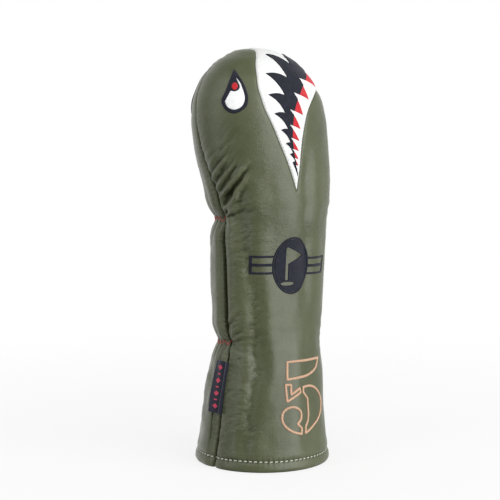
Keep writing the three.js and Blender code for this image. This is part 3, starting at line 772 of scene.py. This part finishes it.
FIGURE_PLACE = (5.5, 54)
CORD_WIDTH, CORD_HEIGHT, CORD_SIDES, CORD_RINGS = 2.1, 0.95, 10, 0.3
FIGURE = {
    "flag": [*spline([(-12.7, 14.2), (-2.7, 15), (6.9, 16), (16.5, 19.6), (22.5, 26.8)], 40), (-10.5, 27)],
    "stem": [(-14.4, -2), (-3.2, 4), (-3.6, 7.2), (-11, 3), (-10.4, 10.3), (-14.4, 10.4)],
    "hook": [*spline([(-4.6, -27.2), (-12.2, -24.6), (-17.6, -19.8), (-19.2, -13.6), (-16.4, -8.2),
                      (-10.2, -6.4), (-4.6, -9.6), (-4, -15.2), (-7.8, -19.4)], 90), (-4.2, -22.8)],
    "bowl": [*spline([(0.2, 7.7), (9.2, 7.4), (17.3, 2.6), (21.6, -6.4), (17.8, -17), (8.4, -23.8),
                      (-0.6, -27.2)], 70), (0.6, -22), (3.4, -18.6), (4.6, -14), (4.6, -1.4), (0, 3.6)],
}


def find_turns(flat):
    """Turns and rises of front places given in the artwork's plane."""
    levels = np.clip(flat[:, 1], 0, TOP)
    turn = np.full(len(flat), -math.pi / 2)
    for _ in range(12):
        here = skin.read(skin.base, turn, levels)
        ahead = skin.read(skin.base, turn + 0.01, levels)
        slope = (ahead[:, 0] - here[:, 0]) / 0.01
        turn = turn + np.clip((flat[:, 0] - here[:, 0]) / np.maximum(slope, 8), -0.3, 0.3)
    return turn, levels


def cord(points, normals, width, height, closed, sides, ribs=0.0):
    """Points and faces of a cord that lies along the points. Every other ring stands proud by `ribs`."""
    count = len(points)
    ahead = np.roll(points, -1, 0) - np.roll(points, 1, 0)
    if not closed:
        ahead[0], ahead[-1] = points[1] - points[0], points[-1] - points[-2]
    beside = unit(np.cross(unit(ahead), normals))
    up = np.cross(beside, unit(ahead))
    turn = 2 * math.pi * np.arange(sides) / sides
    width, height = (np.broadcast_to(v, count)[:, None] for v in (width, height))
    swell = 1 + ribs * ((np.arange(count) % 2)[:, None] * 2 - 1)
    across = np.cos(turn)[None] * width / 2 * swell
    round_top = np.where(np.sin(turn) > 0, np.sin(turn), np.sin(turn) * 0.4)
    rise = round_top[None] * height * swell - 0.15
    rings = points[:, None] + beside[:, None] * across[..., None] + up[:, None] * rise[..., None]
    index = np.arange(count * sides).reshape(count, sides)
    following = np.roll(index, -1, 0)
    quads = np.stack([index, np.roll(index, -1, 1), np.roll(following, -1, 1), following], -1)
    caps = []
    if not closed:
        quads = quads[:-1]
        first, last = index[0], index[-1]
        for k in range(1, sides - 1):
            caps += [(first[0], first[k + 1], first[k]), (last[0], last[k], last[k + 1])]
    return rings.reshape(-1, 3), quads.reshape(-1, 4), np.array(caps, int).reshape(-1, 3)


def on_skin(turn, rise):
    return skin.read(skin.place, turn, rise), unit(skin.read(skin.normal, turn, rise))


def figure_pieces(tan):
    around = np.abs(np.cos(2 * math.pi * np.arange(CORD_SIDES) / CORD_SIDES))
    for name, loop in FIGURE.items():
        flat = evenly(np.array(loop) + (FIGURE_PLACE[0] + PATTERN_SHIFT, FIGURE_PLACE[1]), CORD_RINGS)
        if len(flat) % 2:
            flat = evenly(flat, CORD_RINGS * len(flat) / (len(flat) - 1))
        points, normals = on_skin(*find_turns(flat))
        points, faces = join_parts([cord(points, normals, CORD_WIDTH, CORD_HEIGHT, True, CORD_SIDES, 0.035)])
        flank = np.tile(around, len(flat))
        new_piece(f"number_{name}", points, faces, tan, "tan_cord", sharp=80, flank=flank)


# ---------------------------------------------------------------- thread

def stitch_row(name, turns, rises, width, height, dip, thread, slot):
    """One cord per stitch. Each row of turns and rises is a stitch, whose ends dip into the leather."""
    t = np.linspace(-1, 1, 7)
    arch = 1 - t ** 4
    full = 0.5 + 0.5 * arch
    cords = []
    for turn, rise in zip(turns, rises):
        points, normals = on_skin(*(np.interp(t, np.linspace(-1, 1, len(row)), row) for row in (turn, rise)))
        points = points + normals * ((arch - 1) * dip)[:, None]
        cords.append(cord(points, normals, width * full, height * full, False, 8))
    new_piece(name, *join_parts(cords), thread, slot)


def hem_stitches(thread):
    count = int(2 * math.pi * HEM_RADIUS / STITCH_PITCH)
    middle = 2 * math.pi * (np.arange(count) + 0.5) / count
    half = 0.37 * 2 * math.pi / count
    level = HEM_STITCH + 0.12 * np.sin(middle * 7)
    turns = np.stack([middle - half, middle, middle + half], 1)
    rises = np.stack([level - 0.12, level, level + 0.12], 1)
    stitch_row("hem_topstitch", turns, rises, 0.95, 0.62, 0.75, thread, "pale_thread")


def mouth_stitches(thread):
    """Stitches just inside the border of the white inset, on the front, over the crown and on the back."""
    field = Patch((*FULL_TURN, 481), (203, TOP, 300)).tidy()
    field.cut(inside_by(field.flat(), mouth_outline()) - 1.1)
    place, paler = field.read(skin.base), field.read(skin.place)
    normals = unit(field.read(skin.normal))
    after = dict(field.rim().tolist())
    start = next(iter(after))
    line, at = [start], after.pop(start)
    while at != start and at in after:
        line.append(at)
        at = after.pop(at)
    run = evenly(place[line], 2.6)
    tree = tree_of(place, range(len(place)))
    t = np.array([0.12, 0.3, 0.5, 0.7, 0.88])[:, None]
    arch = 1 - np.linspace(-1, 1, 5) ** 4
    cords = []
    for a, b in zip(run, np.roll(run, -1, 0)):
        wanted = a * (1 - t) + b * t
        near = [tree.find(p)[1] for p in wanted]
        height = ((paler[near] - place[near]) * normals[near]).sum(1).mean() + 0.1
        points = wanted + normals[near] * (height + (arch - 1) * 0.4)[:, None]
        cords.append(cord(points, normals[near], 0.5 * (0.5 + 0.5 * arch), 0.34, False, 6))
    new_piece("mouth_topstitch", *join_parts(cords), thread, "pale_thread")


def band_stitches(thread):
    """Zigzag thread across the back panel, over each elastic band."""
    count = 46
    for name, level in (("upper", UPPER_BAND), ("lower", LOWER_BAND)):
        there = np.array([math.pi]), np.array([level])
        radius = np.hypot(*skin.read(skin.base, *there)[0, :2])
        lean = math.asin(-skin.read(skin.seam, *there)[0] / radius) - 0.03
        knots = np.linspace(-lean, math.pi + lean, count)
        heights = level + 2.3 * np.where(np.arange(count) % 2, 1, -1) + 0.25 * np.sin(np.arange(count) * 1.7)
        t = np.linspace(0.04, 0.96, 5)[None]
        turns, rises = (row[:-1, None] * (1 - t) + row[1:, None] * t for row in (knots, heights))
        stitch_row(f"elastic_stitch_{name}", turns, rises, 0.75, 0.5, 0.3, thread, "red_thread")


# ---------------------------------------------------------------- inside

def inner_pieces(suede, elastic, padding, lining):
    ring = Patch((*FULL_TURN, 361), (0, 22, 16)).tidy()
    sheet("hem_facing", ring, -1.5, -2.6, suede, "olive_leather", ground=skin.soft)
    for name, level in (("upper", UPPER_BAND), ("lower", LOWER_BAND)):
        band = Patch((*BACK_TURNS, 260), (level - 6, level + 6, 14))
        band.cut(band.past_seam() - 2)
        sheet(f"elastic_{name}", band, -1.5, -2.2, elastic, "elastic", ground=skin.soft)
    for name, turns, side in (("front", FRONT_TURNS, -1), ("back", BACK_TURNS, 1)):
        layers = (("padding", -3.4, -5.2, padding), ("lining", -5.6, -6.6, lining))
        for layer, outer, inner, material in layers:
            patch = Patch((*turns, 170), (24, TOP, 170))
            patch.cut(side * patch.past_seam() - 0.15)
            if layer == "lining":
                place = patch.read(skin.base)
                inner = inner + 0.35 * perlin(place, 2.2, 21) + 0.5 * perlin(place, 9, 22)
            sheet(f"{name}_{layer}", patch, outer, inner, material, layer, ground=skin.soft)


# ---------------------------------------------------------------- woven label

LABEL_ROWS, LABEL_STEPS = 70, 90
LABEL_HALF = 0.42                  # half of the doubled tape's thickness
LABEL_CAUGHT = 3.2                 # how far the label runs back into the seam
CLEARANCE = 2.1                    # from the leather to the middle of the tape
# Marks: half width, half height and corners.
MARKS = (
    (2.295, 2.04, [(-1, 0), (0, -1), (1, 0), (0, 1)]),
    (1.35, 1.2, [(-1, -0.45), (1, -0.45), (1, 0.45), (-1, 0.45)]),
)


class Label:
    """A doubled tape that leaves the seam at the hinge line and lies along the leather beside it."""

    def __init__(self):
        joint = next(j for j in frame["joints"] if j["child"] == "label")
        self.hinge = np.array(joint["pos_m"]) / MM
        self.up = unit(np.array(joint["axis"], float))
        corners = np.array([v.co for v in frame["nodes"]["woven_label"].data.vertices]) / MM - self.hinge
        along = corners @ self.up
        arms = corners - along[:, None] * self.up
        reach = np.linalg.norm(arms, axis=1)
        self.across = unit(arms[reach > reach.max() * 0.9].mean(0))
        self.low, self.length, self.width = along.min(), np.ptp(along), reach.max()
        lines = [self.beside_leather(t) for t in np.linspace(0, 1, LABEL_ROWS)]
        self.path, self.out = (blur_rows(np.stack(field), 2.5) for field in zip(*lines))

    def beside_leather(self, t):
        """The tape's section at one level: it starts at the hinge line and keeps clear of the leather."""
        root = self.hinge + (self.low + self.length * t) * self.up
        turns = np.linspace(math.pi + 0.28, math.pi - 0.62, 150)
        levels = np.full(len(turns), root[2])
        outwards = unit(skin.read(skin.normal, turns, levels))
        section = skin.read(skin.soft, turns, levels) + outwards * CLEARANCE
        gone, run = run_along(section), np.linspace(0, self.width, LABEL_STEPS)
        where = run + gone[np.argmin(np.linalg.norm(section - root, axis=1))]
        line = read_line(section, gone, where)
        line = line + (root - line[0]) * np.exp(-(run / 3.2) ** 2)[:, None]
        return line, read_line(outwards, gone, where)

    def spot(self, u, t, side):
        """A place on the label: u mm out from the hinge line, t up from 0 to 1, on one face."""
        row, step = np.clip(t, 0, 1) * (LABEL_ROWS - 1), np.clip(u / self.width, 0, 1) * (LABEL_STEPS - 1)
        r, c = np.minimum(row.astype(int), LABEL_ROWS - 2), np.minimum(step.astype(int), LABEL_STEPS - 2)
        rest_r, rest_c = (row - r)[..., None], (step - c)[..., None]

        def between(field):
            lower, upper = (field[k, c] * (1 - rest_c) + field[k, c + 1] * rest_c for k in (r, r + 1))
            return lower * (1 - rest_r) + upper * rest_r

        out = between(self.out)
        sunk = np.minimum(u, 0)[..., None]
        thick = LABEL_HALF * np.sqrt(1 - np.clip((u - self.width) / LABEL_HALF + 1, 0, 1) ** 2)
        curl = 0.9 * smoothstep(4, self.width, u) * (1 - 2.1 * t)
        curl = curl + 0.3 * np.sin(t * 6 + 0.8) * smoothstep(2, self.width, u)
        turned = smoothstep(-1.2, 1.2, u)[..., None]
        facing = unit(out * turned - self.across * (1 - turned))
        middle = between(self.path) + sunk * (out * 0.85 + self.across * 0.25) + out * curl[..., None]
        return middle + facing * (side * thick)[..., None]

    def cloth(self, weave):
        tip = self.width - LABEL_HALF * np.array([1, 0.7, 0.4, 0.15, 0.03])
        u, t = np.meshgrid([*np.linspace(-LABEL_CAUGHT, tip[0], 34), *tip[1:]], np.linspace(0, 1, LABEL_ROWS))
        loop = np.concatenate([self.spot(u, t, 1), self.spot(u[:, ::-1], t, -1)], 1)
        count = loop.shape[1]
        index = np.arange(LABEL_ROWS * count).reshape(LABEL_ROWS, count)
        around = np.roll(index, -1, 1)
        sides = np.stack([index[:-1], around[:-1], around[1:], index[1:]], -1).reshape(-1, 4)

        def end(row):
            back = row[::-1]
            return np.stack([row[:-1], row[1:], back[1:], back[:-1]], 1)[:count // 2 - 1]

        faces = [sides, end(index[0])[:, ::-1], end(index[-1])]
        label = new_piece(
            "woven_label", loop.reshape(-1, 3), faces, weave, "label_weave", body=None,
            across=np.concatenate([u, u[:, ::-1]], 1), along=np.concatenate([t, t], 1) * self.length)
        face = np.cross(self.up, self.across)                 # outwards, away from the leather
        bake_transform(label)

    def marks(self, thread):
        """A column of plain diamonds and bars, raised by one thread."""
        part = np.arange(6)[:, None] / 6
        parts = []
        for number in range(7):
            half_width, half_height, corners = MARKS[number % 2]
            ends = zip(np.array(corners), np.roll(corners, -1, 0))
            outline = np.concatenate([a * (1 - part) + b * part for a, b in ends])
            outline = np.append(outline, [(0, 0)], axis=0) * (half_width, half_height / self.length)
            u, t = (outline + (self.width * 0.52, 0.14 + 0.12 * number)).T
            top = self.spot(u, t, 1)
            inwards = unit(self.spot(u, t, -1) - top)
            upper, lower = top - inwards * 0.13, top + inwards * 0.15
            ring = len(u) - 1
            k = np.arange(ring)
            after, hub = (k + 1) % ring, np.full(ring, 2 * ring)
            fans = [np.stack([k, after, hub], 1), np.stack([after + ring, k + ring, hub + 1], 1)]
            parts.append((
                np.concatenate([upper[:-1], lower[:-1], upper[-1:], lower[-1:]]),
                np.stack([k, k + ring, after + ring, after], 1), np.concatenate(fans)))
        new_piece("label_marks", *join_parts(parts), thread, "label_weave", replaces=(), body="label")


# ---------------------------------------------------------------- materials

class Nodes:
    """Short names for building the nodes of a material or a world."""

    def __init__(self, owner):
        owner.use_nodes = True
        self.owner, self.tree = owner, owner.node_tree
        self.tree.nodes.clear()
        self.coords = self.add("TexCoord").outputs["Object"]

    def add(self, kind, inputs=None, **settings):
        """A node with its inputs linked or set. Colours are given as red, green and blue."""
        node = self.tree.nodes.new("ShaderNode" + kind)
        for key, value in settings.items():
            setattr(node, key, value)
        for key, value in (inputs or {}).items():
            socket = node.inputs[key]
            if isinstance(value, bpy.types.NodeSocket):
                self.tree.links.new(value, socket)
            else:
                socket.default_value = (*value, 1) if socket.type == "RGBA" else value
        return node

    def scaled(self, scale, rotation=(0, 0, 0)):
        return self.add("Mapping", {"Vector": self.coords, "Scale": scale, "Rotation": rotation}).outputs[0]

    def noise(self, scale, detail, rough, vector=None):
        inputs = {"Vector": vector or self.coords, "Scale": scale, "Detail": detail, "Roughness": rough}
        return self.add("TexNoise", inputs).outputs["Fac"]

    def math(self, operation, a, b):
        return self.add("Math", {0: a, 1: b}, operation=operation).outputs[0]

    def range(self, value, low, high, to_low, to_high, kind="LINEAR"):
        inputs = {"Value": value, "From Min": low, "From Max": high, "To Min": to_low, "To Max": to_high}
        return self.add("MapRange", inputs, interpolation_type=kind).outputs["Result"]

    def mix(self, factor, a, b):
        return self.add("Mix", {0: factor, 6: a, 7: b}, data_type="RGBA").outputs[2]

    def mix_shaders(self, factor, a, b):
        return self.add("MixShader", {0: factor, 1: a, 2: b}).outputs[0]

    def bump(self, height, strength, distance, before=None):
        inputs = {"Strength": strength, "Distance": distance * MM, "Height": height}
        if before is not None:
            inputs["Normal"] = before
        return self.add("Bump", inputs).outputs[0]

    def attribute(self, name):
        return self.add("Attribute", attribute_name=name).outputs["Fac"]

    def finish(self, colour, roughness, normal, sheen, specular=0.5, coat=0.0):
        shader = self.add("BsdfPrincipled", {
            "Base Color": colour, "Roughness": roughness, "Normal": normal, "Sheen Weight": sheen,
            "Sheen Roughness": 0.45, "Specular IOR Level": specular, "Coat Weight": coat,
            "Coat Roughness": 0.35})
        self.add("OutputMaterial", {"Surface": shader.outputs[0]})
        return self.owner


def new_nodes(name):
    return Nodes(bpy.data.materials.new(name))


def darker(colour, share):
    return tuple(c * share for c in colour)


def leather_material(name, deep, mid, paler, roughness, grain=1.0):
    n = new_nodes(name)
    small = n.add("TexNoise", {"Vector": n.coords, "Scale": 420}).outputs["Color"]
    offset = n.add("VectorMath", {0: small, "Scale": 0.0012}, operation="SCALE").outputs[0]
    moved = n.add("VectorMath", {0: n.coords, 1: offset}, operation="ADD").outputs[0]
    cells = n.add("TexVoronoi", {"Vector": moved, "Scale": 950}, feature="F1")
    pebble = n.range(cells.outputs["Distance"], 0.05, 0.65, 1.0, 0.0)
    creases = n.noise(1.0, 4.0, 0.6, n.scaled((190, 190, 430)))
    creases = n.math("MULTIPLY", creases, n.range(n.attribute("crease"), 0.0, 1.0, 0.12, 1.0))
    patchy = n.noise(16, 4.0, 0.55)
    ridge = n.attribute("ridge")
    tone = n.mix(n.range(patchy, 0.3, 0.7, 0.0, 1.0), deep, mid)
    tone = n.mix(n.range(n.noise(120, 3.0, 0.6), 0.35, 0.75, 0.0, 0.28), tone, paler)
    # Paler on the ridges that stand above the local height.
    tone = n.mix(n.range(ridge, 0.5, 1.0, 0.0, 0.5), tone, paler)
    # Painted shade: darker in the grooves and hollows below the local height, where shade falls.
    tone = n.mix(n.range(ridge, 0.0, 0.45, 0.75, 0.0), tone, darker(deep, 0.35))
    tone = n.mix(n.range(pebble, 0.0, 0.5, 0.16, 0.0), tone, darker(deep, 0.5))
    dull = n.range(patchy, 0.3, 0.7, roughness - 0.04, roughness + 0.05)
    dull = n.math("ADD", dull, n.range(pebble, 0.0, 1.0, 0.1, -0.03))
    normal = n.bump(creases, 0.75 * grain, 1.2)
    normal = n.bump(n.noise(1500, 3.0, 0.6), 0.25 * grain, 0.12, normal)
    normal = n.bump(pebble, 0.4 * grain, 0.16, normal)
    # The shine is also lowered in those grooves, along with the painted shade.
    return n.finish(tone, dull, normal, sheen=0.03, specular=n.range(ridge, 0.0, 0.4, 0.08, 0.48), coat=0.05)


THREAD_PITCH = 0.42


def stitched_material(name, colour, lit, angle, trough_shade=0.45):
    """Satin-stitched thread: fine ridges that all run one way, each a little different."""
    n = new_nodes(name)
    inputs = {"Scale": 1000 / THREAD_PITCH / 3.2, "Distortion": 0.6, "Detail": 1.5, "Detail Scale": 1.2,
              "Vector": n.scaled((1, 1, 1), (0, angle, 0))}
    wave = n.add("TexWave", inputs, wave_type="BANDS", bands_direction="Z", wave_profile="SIN")
    strand = wave.outputs["Fac"]
    # Painted shade: the colour is darkened in the troughs between the strands.
    shade = n.mix(n.range(strand, 0.1, 0.9, 0.0, 1.0), darker(colour, trough_shade), colour)
    shade = n.mix(n.range(n.noise(260, 3.0, 0.6), 0.4, 0.8, 0.0, 0.6), shade, lit)
    fuzz = n.noise(2400, 3.0, 0.7)
    normal = n.bump(fuzz, 0.3, 0.1, n.bump(strand, 0.5, 0.28))
    return n.finish(shade, n.range(fuzz, 0.2, 0.8, 0.54, 0.72), normal, sheen=0.1, specular=0.28)


def thread_material(name, colour, lit, flank=None):
    n = new_nodes(name)
    twist = n.noise(1.0, 3.0, 0.6, n.scaled((2600, 2600, 1500), (0.5, 0.4, 0)))
    shade = n.mix(n.range(twist, 0.3, 0.7, 0.0, 1.0), colour, lit)
    if flank:
        shade = n.mix(n.range(n.attribute("flank"), 0.72, 1.0, 0.0, 0.9), shade, flank)
    return n.finish(shade, n.range(twist, 0.2, 0.8, 0.5, 0.75), n.bump(twist, 0.6, 0.2), sheen=0.3)


def fleece_material(name, colour, lit, scale):
    n = new_nodes(name)
    tuft = n.noise(scale, 5.0, 0.7)
    shade = n.mix(n.range(tuft, 0.35, 0.7, 0.0, 1.0), colour, lit)
    normal = n.bump(n.noise(scale * 5, 3.0, 0.7), 0.7, 0.3, n.bump(tuft, 0.9, 1.0))
    return n.finish(shade, 0.95, normal, sheen=0.5, specular=0.2)


def weave_material(name, colour, lit):
    """Plain weave drawn from the piece's own two lengths."""
    n = new_nodes(name)
    pitch = 2 * math.pi / 0.45
    waves = (n.math("MULTIPLY", n.attribute(way), pitch) for way in ("across", "along"))
    warp, weft = (n.add("Math", {0: wave}, operation="SINE").outputs[0] for wave in waves)
    checks = n.math("MULTIPLY", warp, weft)
    shade = n.mix(n.range(checks, -0.6, 1.0, 0.0, 1.0), colour, lit)
    shade = n.mix(n.range(n.noise(300, 3.0, 0.6), 0.45, 0.8, 0.0, 0.5), shade, lit)
    normal = n.bump(n.range(checks, -1.0, 1.0, 0.0, 1.0), 0.7, 0.16)
    normal = n.bump(n.noise(2600, 2.0, 0.6), 0.3, 0.08, normal)
    return n.finish(shade, 0.72, normal, sheen=0.35, specular=0.3)


OLIVE = leather_material(
    "olive_leather", (0.053, 0.062, 0.027), (0.078, 0.089, 0.041), (0.115, 0.126, 0.070), 0.31)
WHITE = leather_material(
    "white_leather", (0.66, 0.67, 0.66), (0.76, 0.77, 0.76), (0.82, 0.82, 0.81), 0.42, grain=0.5)
SUEDE = fleece_material("leather_suede", (0.055, 0.058, 0.040), (0.11, 0.11, 0.08), 900)
NAVY = stitched_material("navy_embroidery", (0.006, 0.008, 0.019), (0.016, 0.020, 0.040), 0.6)
RED = stitched_material("red_embroidery", (0.60, 0.018, 0.028), (0.72, 0.045, 0.055), -0.5, trough_shade=0.7)
EYE_THREAD = stitched_material("white_embroidery", (0.93, 0.94, 0.94), (0.98, 0.98, 0.98), 0.0, trough_shade=0.9)
TAN = thread_material("tan_thread", (0.34, 0.18, 0.10), (0.64, 0.42, 0.28), flank=(0.10, 0.045, 0.022))
PALE = thread_material("pale_thread", (0.40, 0.40, 0.34), (0.72, 0.72, 0.64))
DARK_RED = thread_material("red_thread", (0.34, 0.03, 0.03), (0.62, 0.08, 0.07))
ELASTIC = fleece_material("elastic_weave", (0.01, 0.01, 0.01), (0.05, 0.05, 0.05), 1200)
PADDING = fleece_material("padding_knit", (0.52, 0.50, 0.44), (0.72, 0.70, 0.64), 700)
LINING = fleece_material("lining_fleece", (0.022, 0.025, 0.018), (0.085, 0.09, 0.07), 420)
LABEL = weave_material("label_weave", (0.004, 0.005, 0.013), (0.018, 0.021, 0.045))
LABEL_RED = thread_material("label_mark_thread", (0.36, 0.012, 0.05), (0.62, 0.05, 0.10))

leather_panels(OLIVE)
mouth_pieces(WHITE, RED, NAVY)
eye_pieces(NAVY, EYE_THREAD, RED)
badge_pieces(NAVY)
figure_pieces(TAN)
hem_stitches(PALE)
mouth_stitches(PALE)
band_stitches(DARK_RED)
inner_pieces(SUEDE, ELASTIC, PADDING, LINING)
label = Label()
label.cloth(LABEL)
label.marks(LABEL_RED)


# ---------------------------------------------------------------- studio

# Name, azimuth, elevation, distance in metres, width, height, radiance.
SOFTBOXES = (
    ("key", 14, 12, 1.6, 58, 70, 3.3),
    ("left", -90, 18, 1.6, 24, 70, 1.7),
    ("upper_left", -62, 48, 1.6, 50, 28, 1.3),
)
ROOM_GLOW, RIGHT_GLOW, BACK_GLOW = 0.29, 0.36, 0.85


def paper_floor():
    """Paper that fades to white with distance, so that no horizon shows.

    Only a camera above it sees it: the lights reach below its level, as they do round a cover held up.
    """
    n = new_nodes("paper")
    away = n.add("VectorMath", {0: n.coords}, operation="LENGTH").outputs["Value"]
    kinds = (("BsdfDiffuse", {0: (0.8, 0.8, 0.8)}), ("Emission",), ("BsdfTransparent",))
    matt, glow, clear = (n.add(*kind).outputs[0] for kind in kinds)
    near = n.mix_shaders(n.range(away, 0.05, 0.75, 0.8, 1.0, "SMOOTHSTEP"), matt, glow)
    from_above = n.mix_shaders(n.add("NewGeometry").outputs["Backfacing"], near, clear)
    to_camera = n.add("LightPath").outputs["Is Camera Ray"]
    n.add("OutputMaterial", {"Surface": n.mix_shaders(to_camera, clear, from_above)})
    bpy.ops.mesh.primitive_plane_add(size=12, location=(0, 0, -0.0005))
    floor = bpy.context.object
    floor.name = "floor"
    floor.data.materials.append(n.owner)


def room():
    """White to look at, dim on the left and brighter to the right and behind."""
    world = bpy.data.worlds.new("studio")
    bpy.context.scene.world = world
    n = Nodes(world)
    way = n.add("SeparateXYZ", {0: n.add("TexCoord").outputs["Generated"]}).outputs
    right = n.range(way[0], 0.0, 0.9, 0.0, RIGHT_GLOW, "SMOOTHSTEP")
    behind = n.range(way[1], 0.2, 0.95, 0.0, BACK_GLOW, "SMOOTHSTEP")
    around = n.math("ADD", n.math("ADD", right, behind), ROOM_GLOW)
    to_camera = n.add("LightPath").outputs["Is Camera Ray"]
    strength = n.add("Mix", {0: to_camera, 2: around, 3: 1.0}, data_type="FLOAT").outputs[0]
    shade = n.add("Background", {"Color": (1, 1, 1), "Strength": strength})
    n.add("OutputWorld", {"Surface": shade.outputs[0]})


def softbox(name, azimuth, elevation, distance, width, height, radiance):
    """A rectangular light, given by its direction and width and height in degrees, as seen from the cover."""
    data = bpy.data.lights.new(name, "AREA")
    data.shape = "RECTANGLE"
    data.size, data.size_y = (2 * distance * math.tan(math.radians(angle / 2)) for angle in (width, height))
    data.energy = math.pi * data.size * data.size_y * radiance
    lamp = bpy.data.objects.new(name, data)
    bpy.context.scene.collection.objects.link(lamp)
    turn, rise = math.radians(azimuth), math.radians(elevation)
    way = Vector((math.sin(turn) * math.cos(rise), -math.cos(turn) * math.cos(rise), math.sin(rise)))
    lamp.location = Vector((0, 0, 0.16)) + distance * way
    lamp.rotation_euler = (-way).to_track_quat("-Z", "Y").to_euler()


def camera():
    """The viewing place: 35 degrees to the left of the front, and three quarters of the way up."""
    azimuth, tilt = math.radians(-35), math.radians(4.46)
    distance, height, aside = 0.950, 0.238, -0.0096
    back = Vector((math.sin(azimuth), -math.cos(azimuth), 0))
    right = Vector((math.cos(azimuth), math.sin(azimuth), 0))
    data = bpy.data.cameras.new("camera")
    data.sensor_width = 36
    data.lens = 87.6
    view = bpy.data.objects.new("camera", data)
    bpy.context.scene.collection.objects.link(view)
    view.location = back * distance + right * aside + Vector((PATTERN_SHIFT * MM, 0, height))
    ahead = -back * math.cos(tilt) - Vector((0, 0, math.sin(tilt)))
    view.rotation_euler = ahead.to_track_quat("-Z", "Y").to_euler()
    bpy.context.scene.camera = view


paper_floor()
room()
for lamp in SOFTBOXES:
    softbox(*lamp)
camera()
bpy.context.scene.view_settings.view_transform = "Standard"
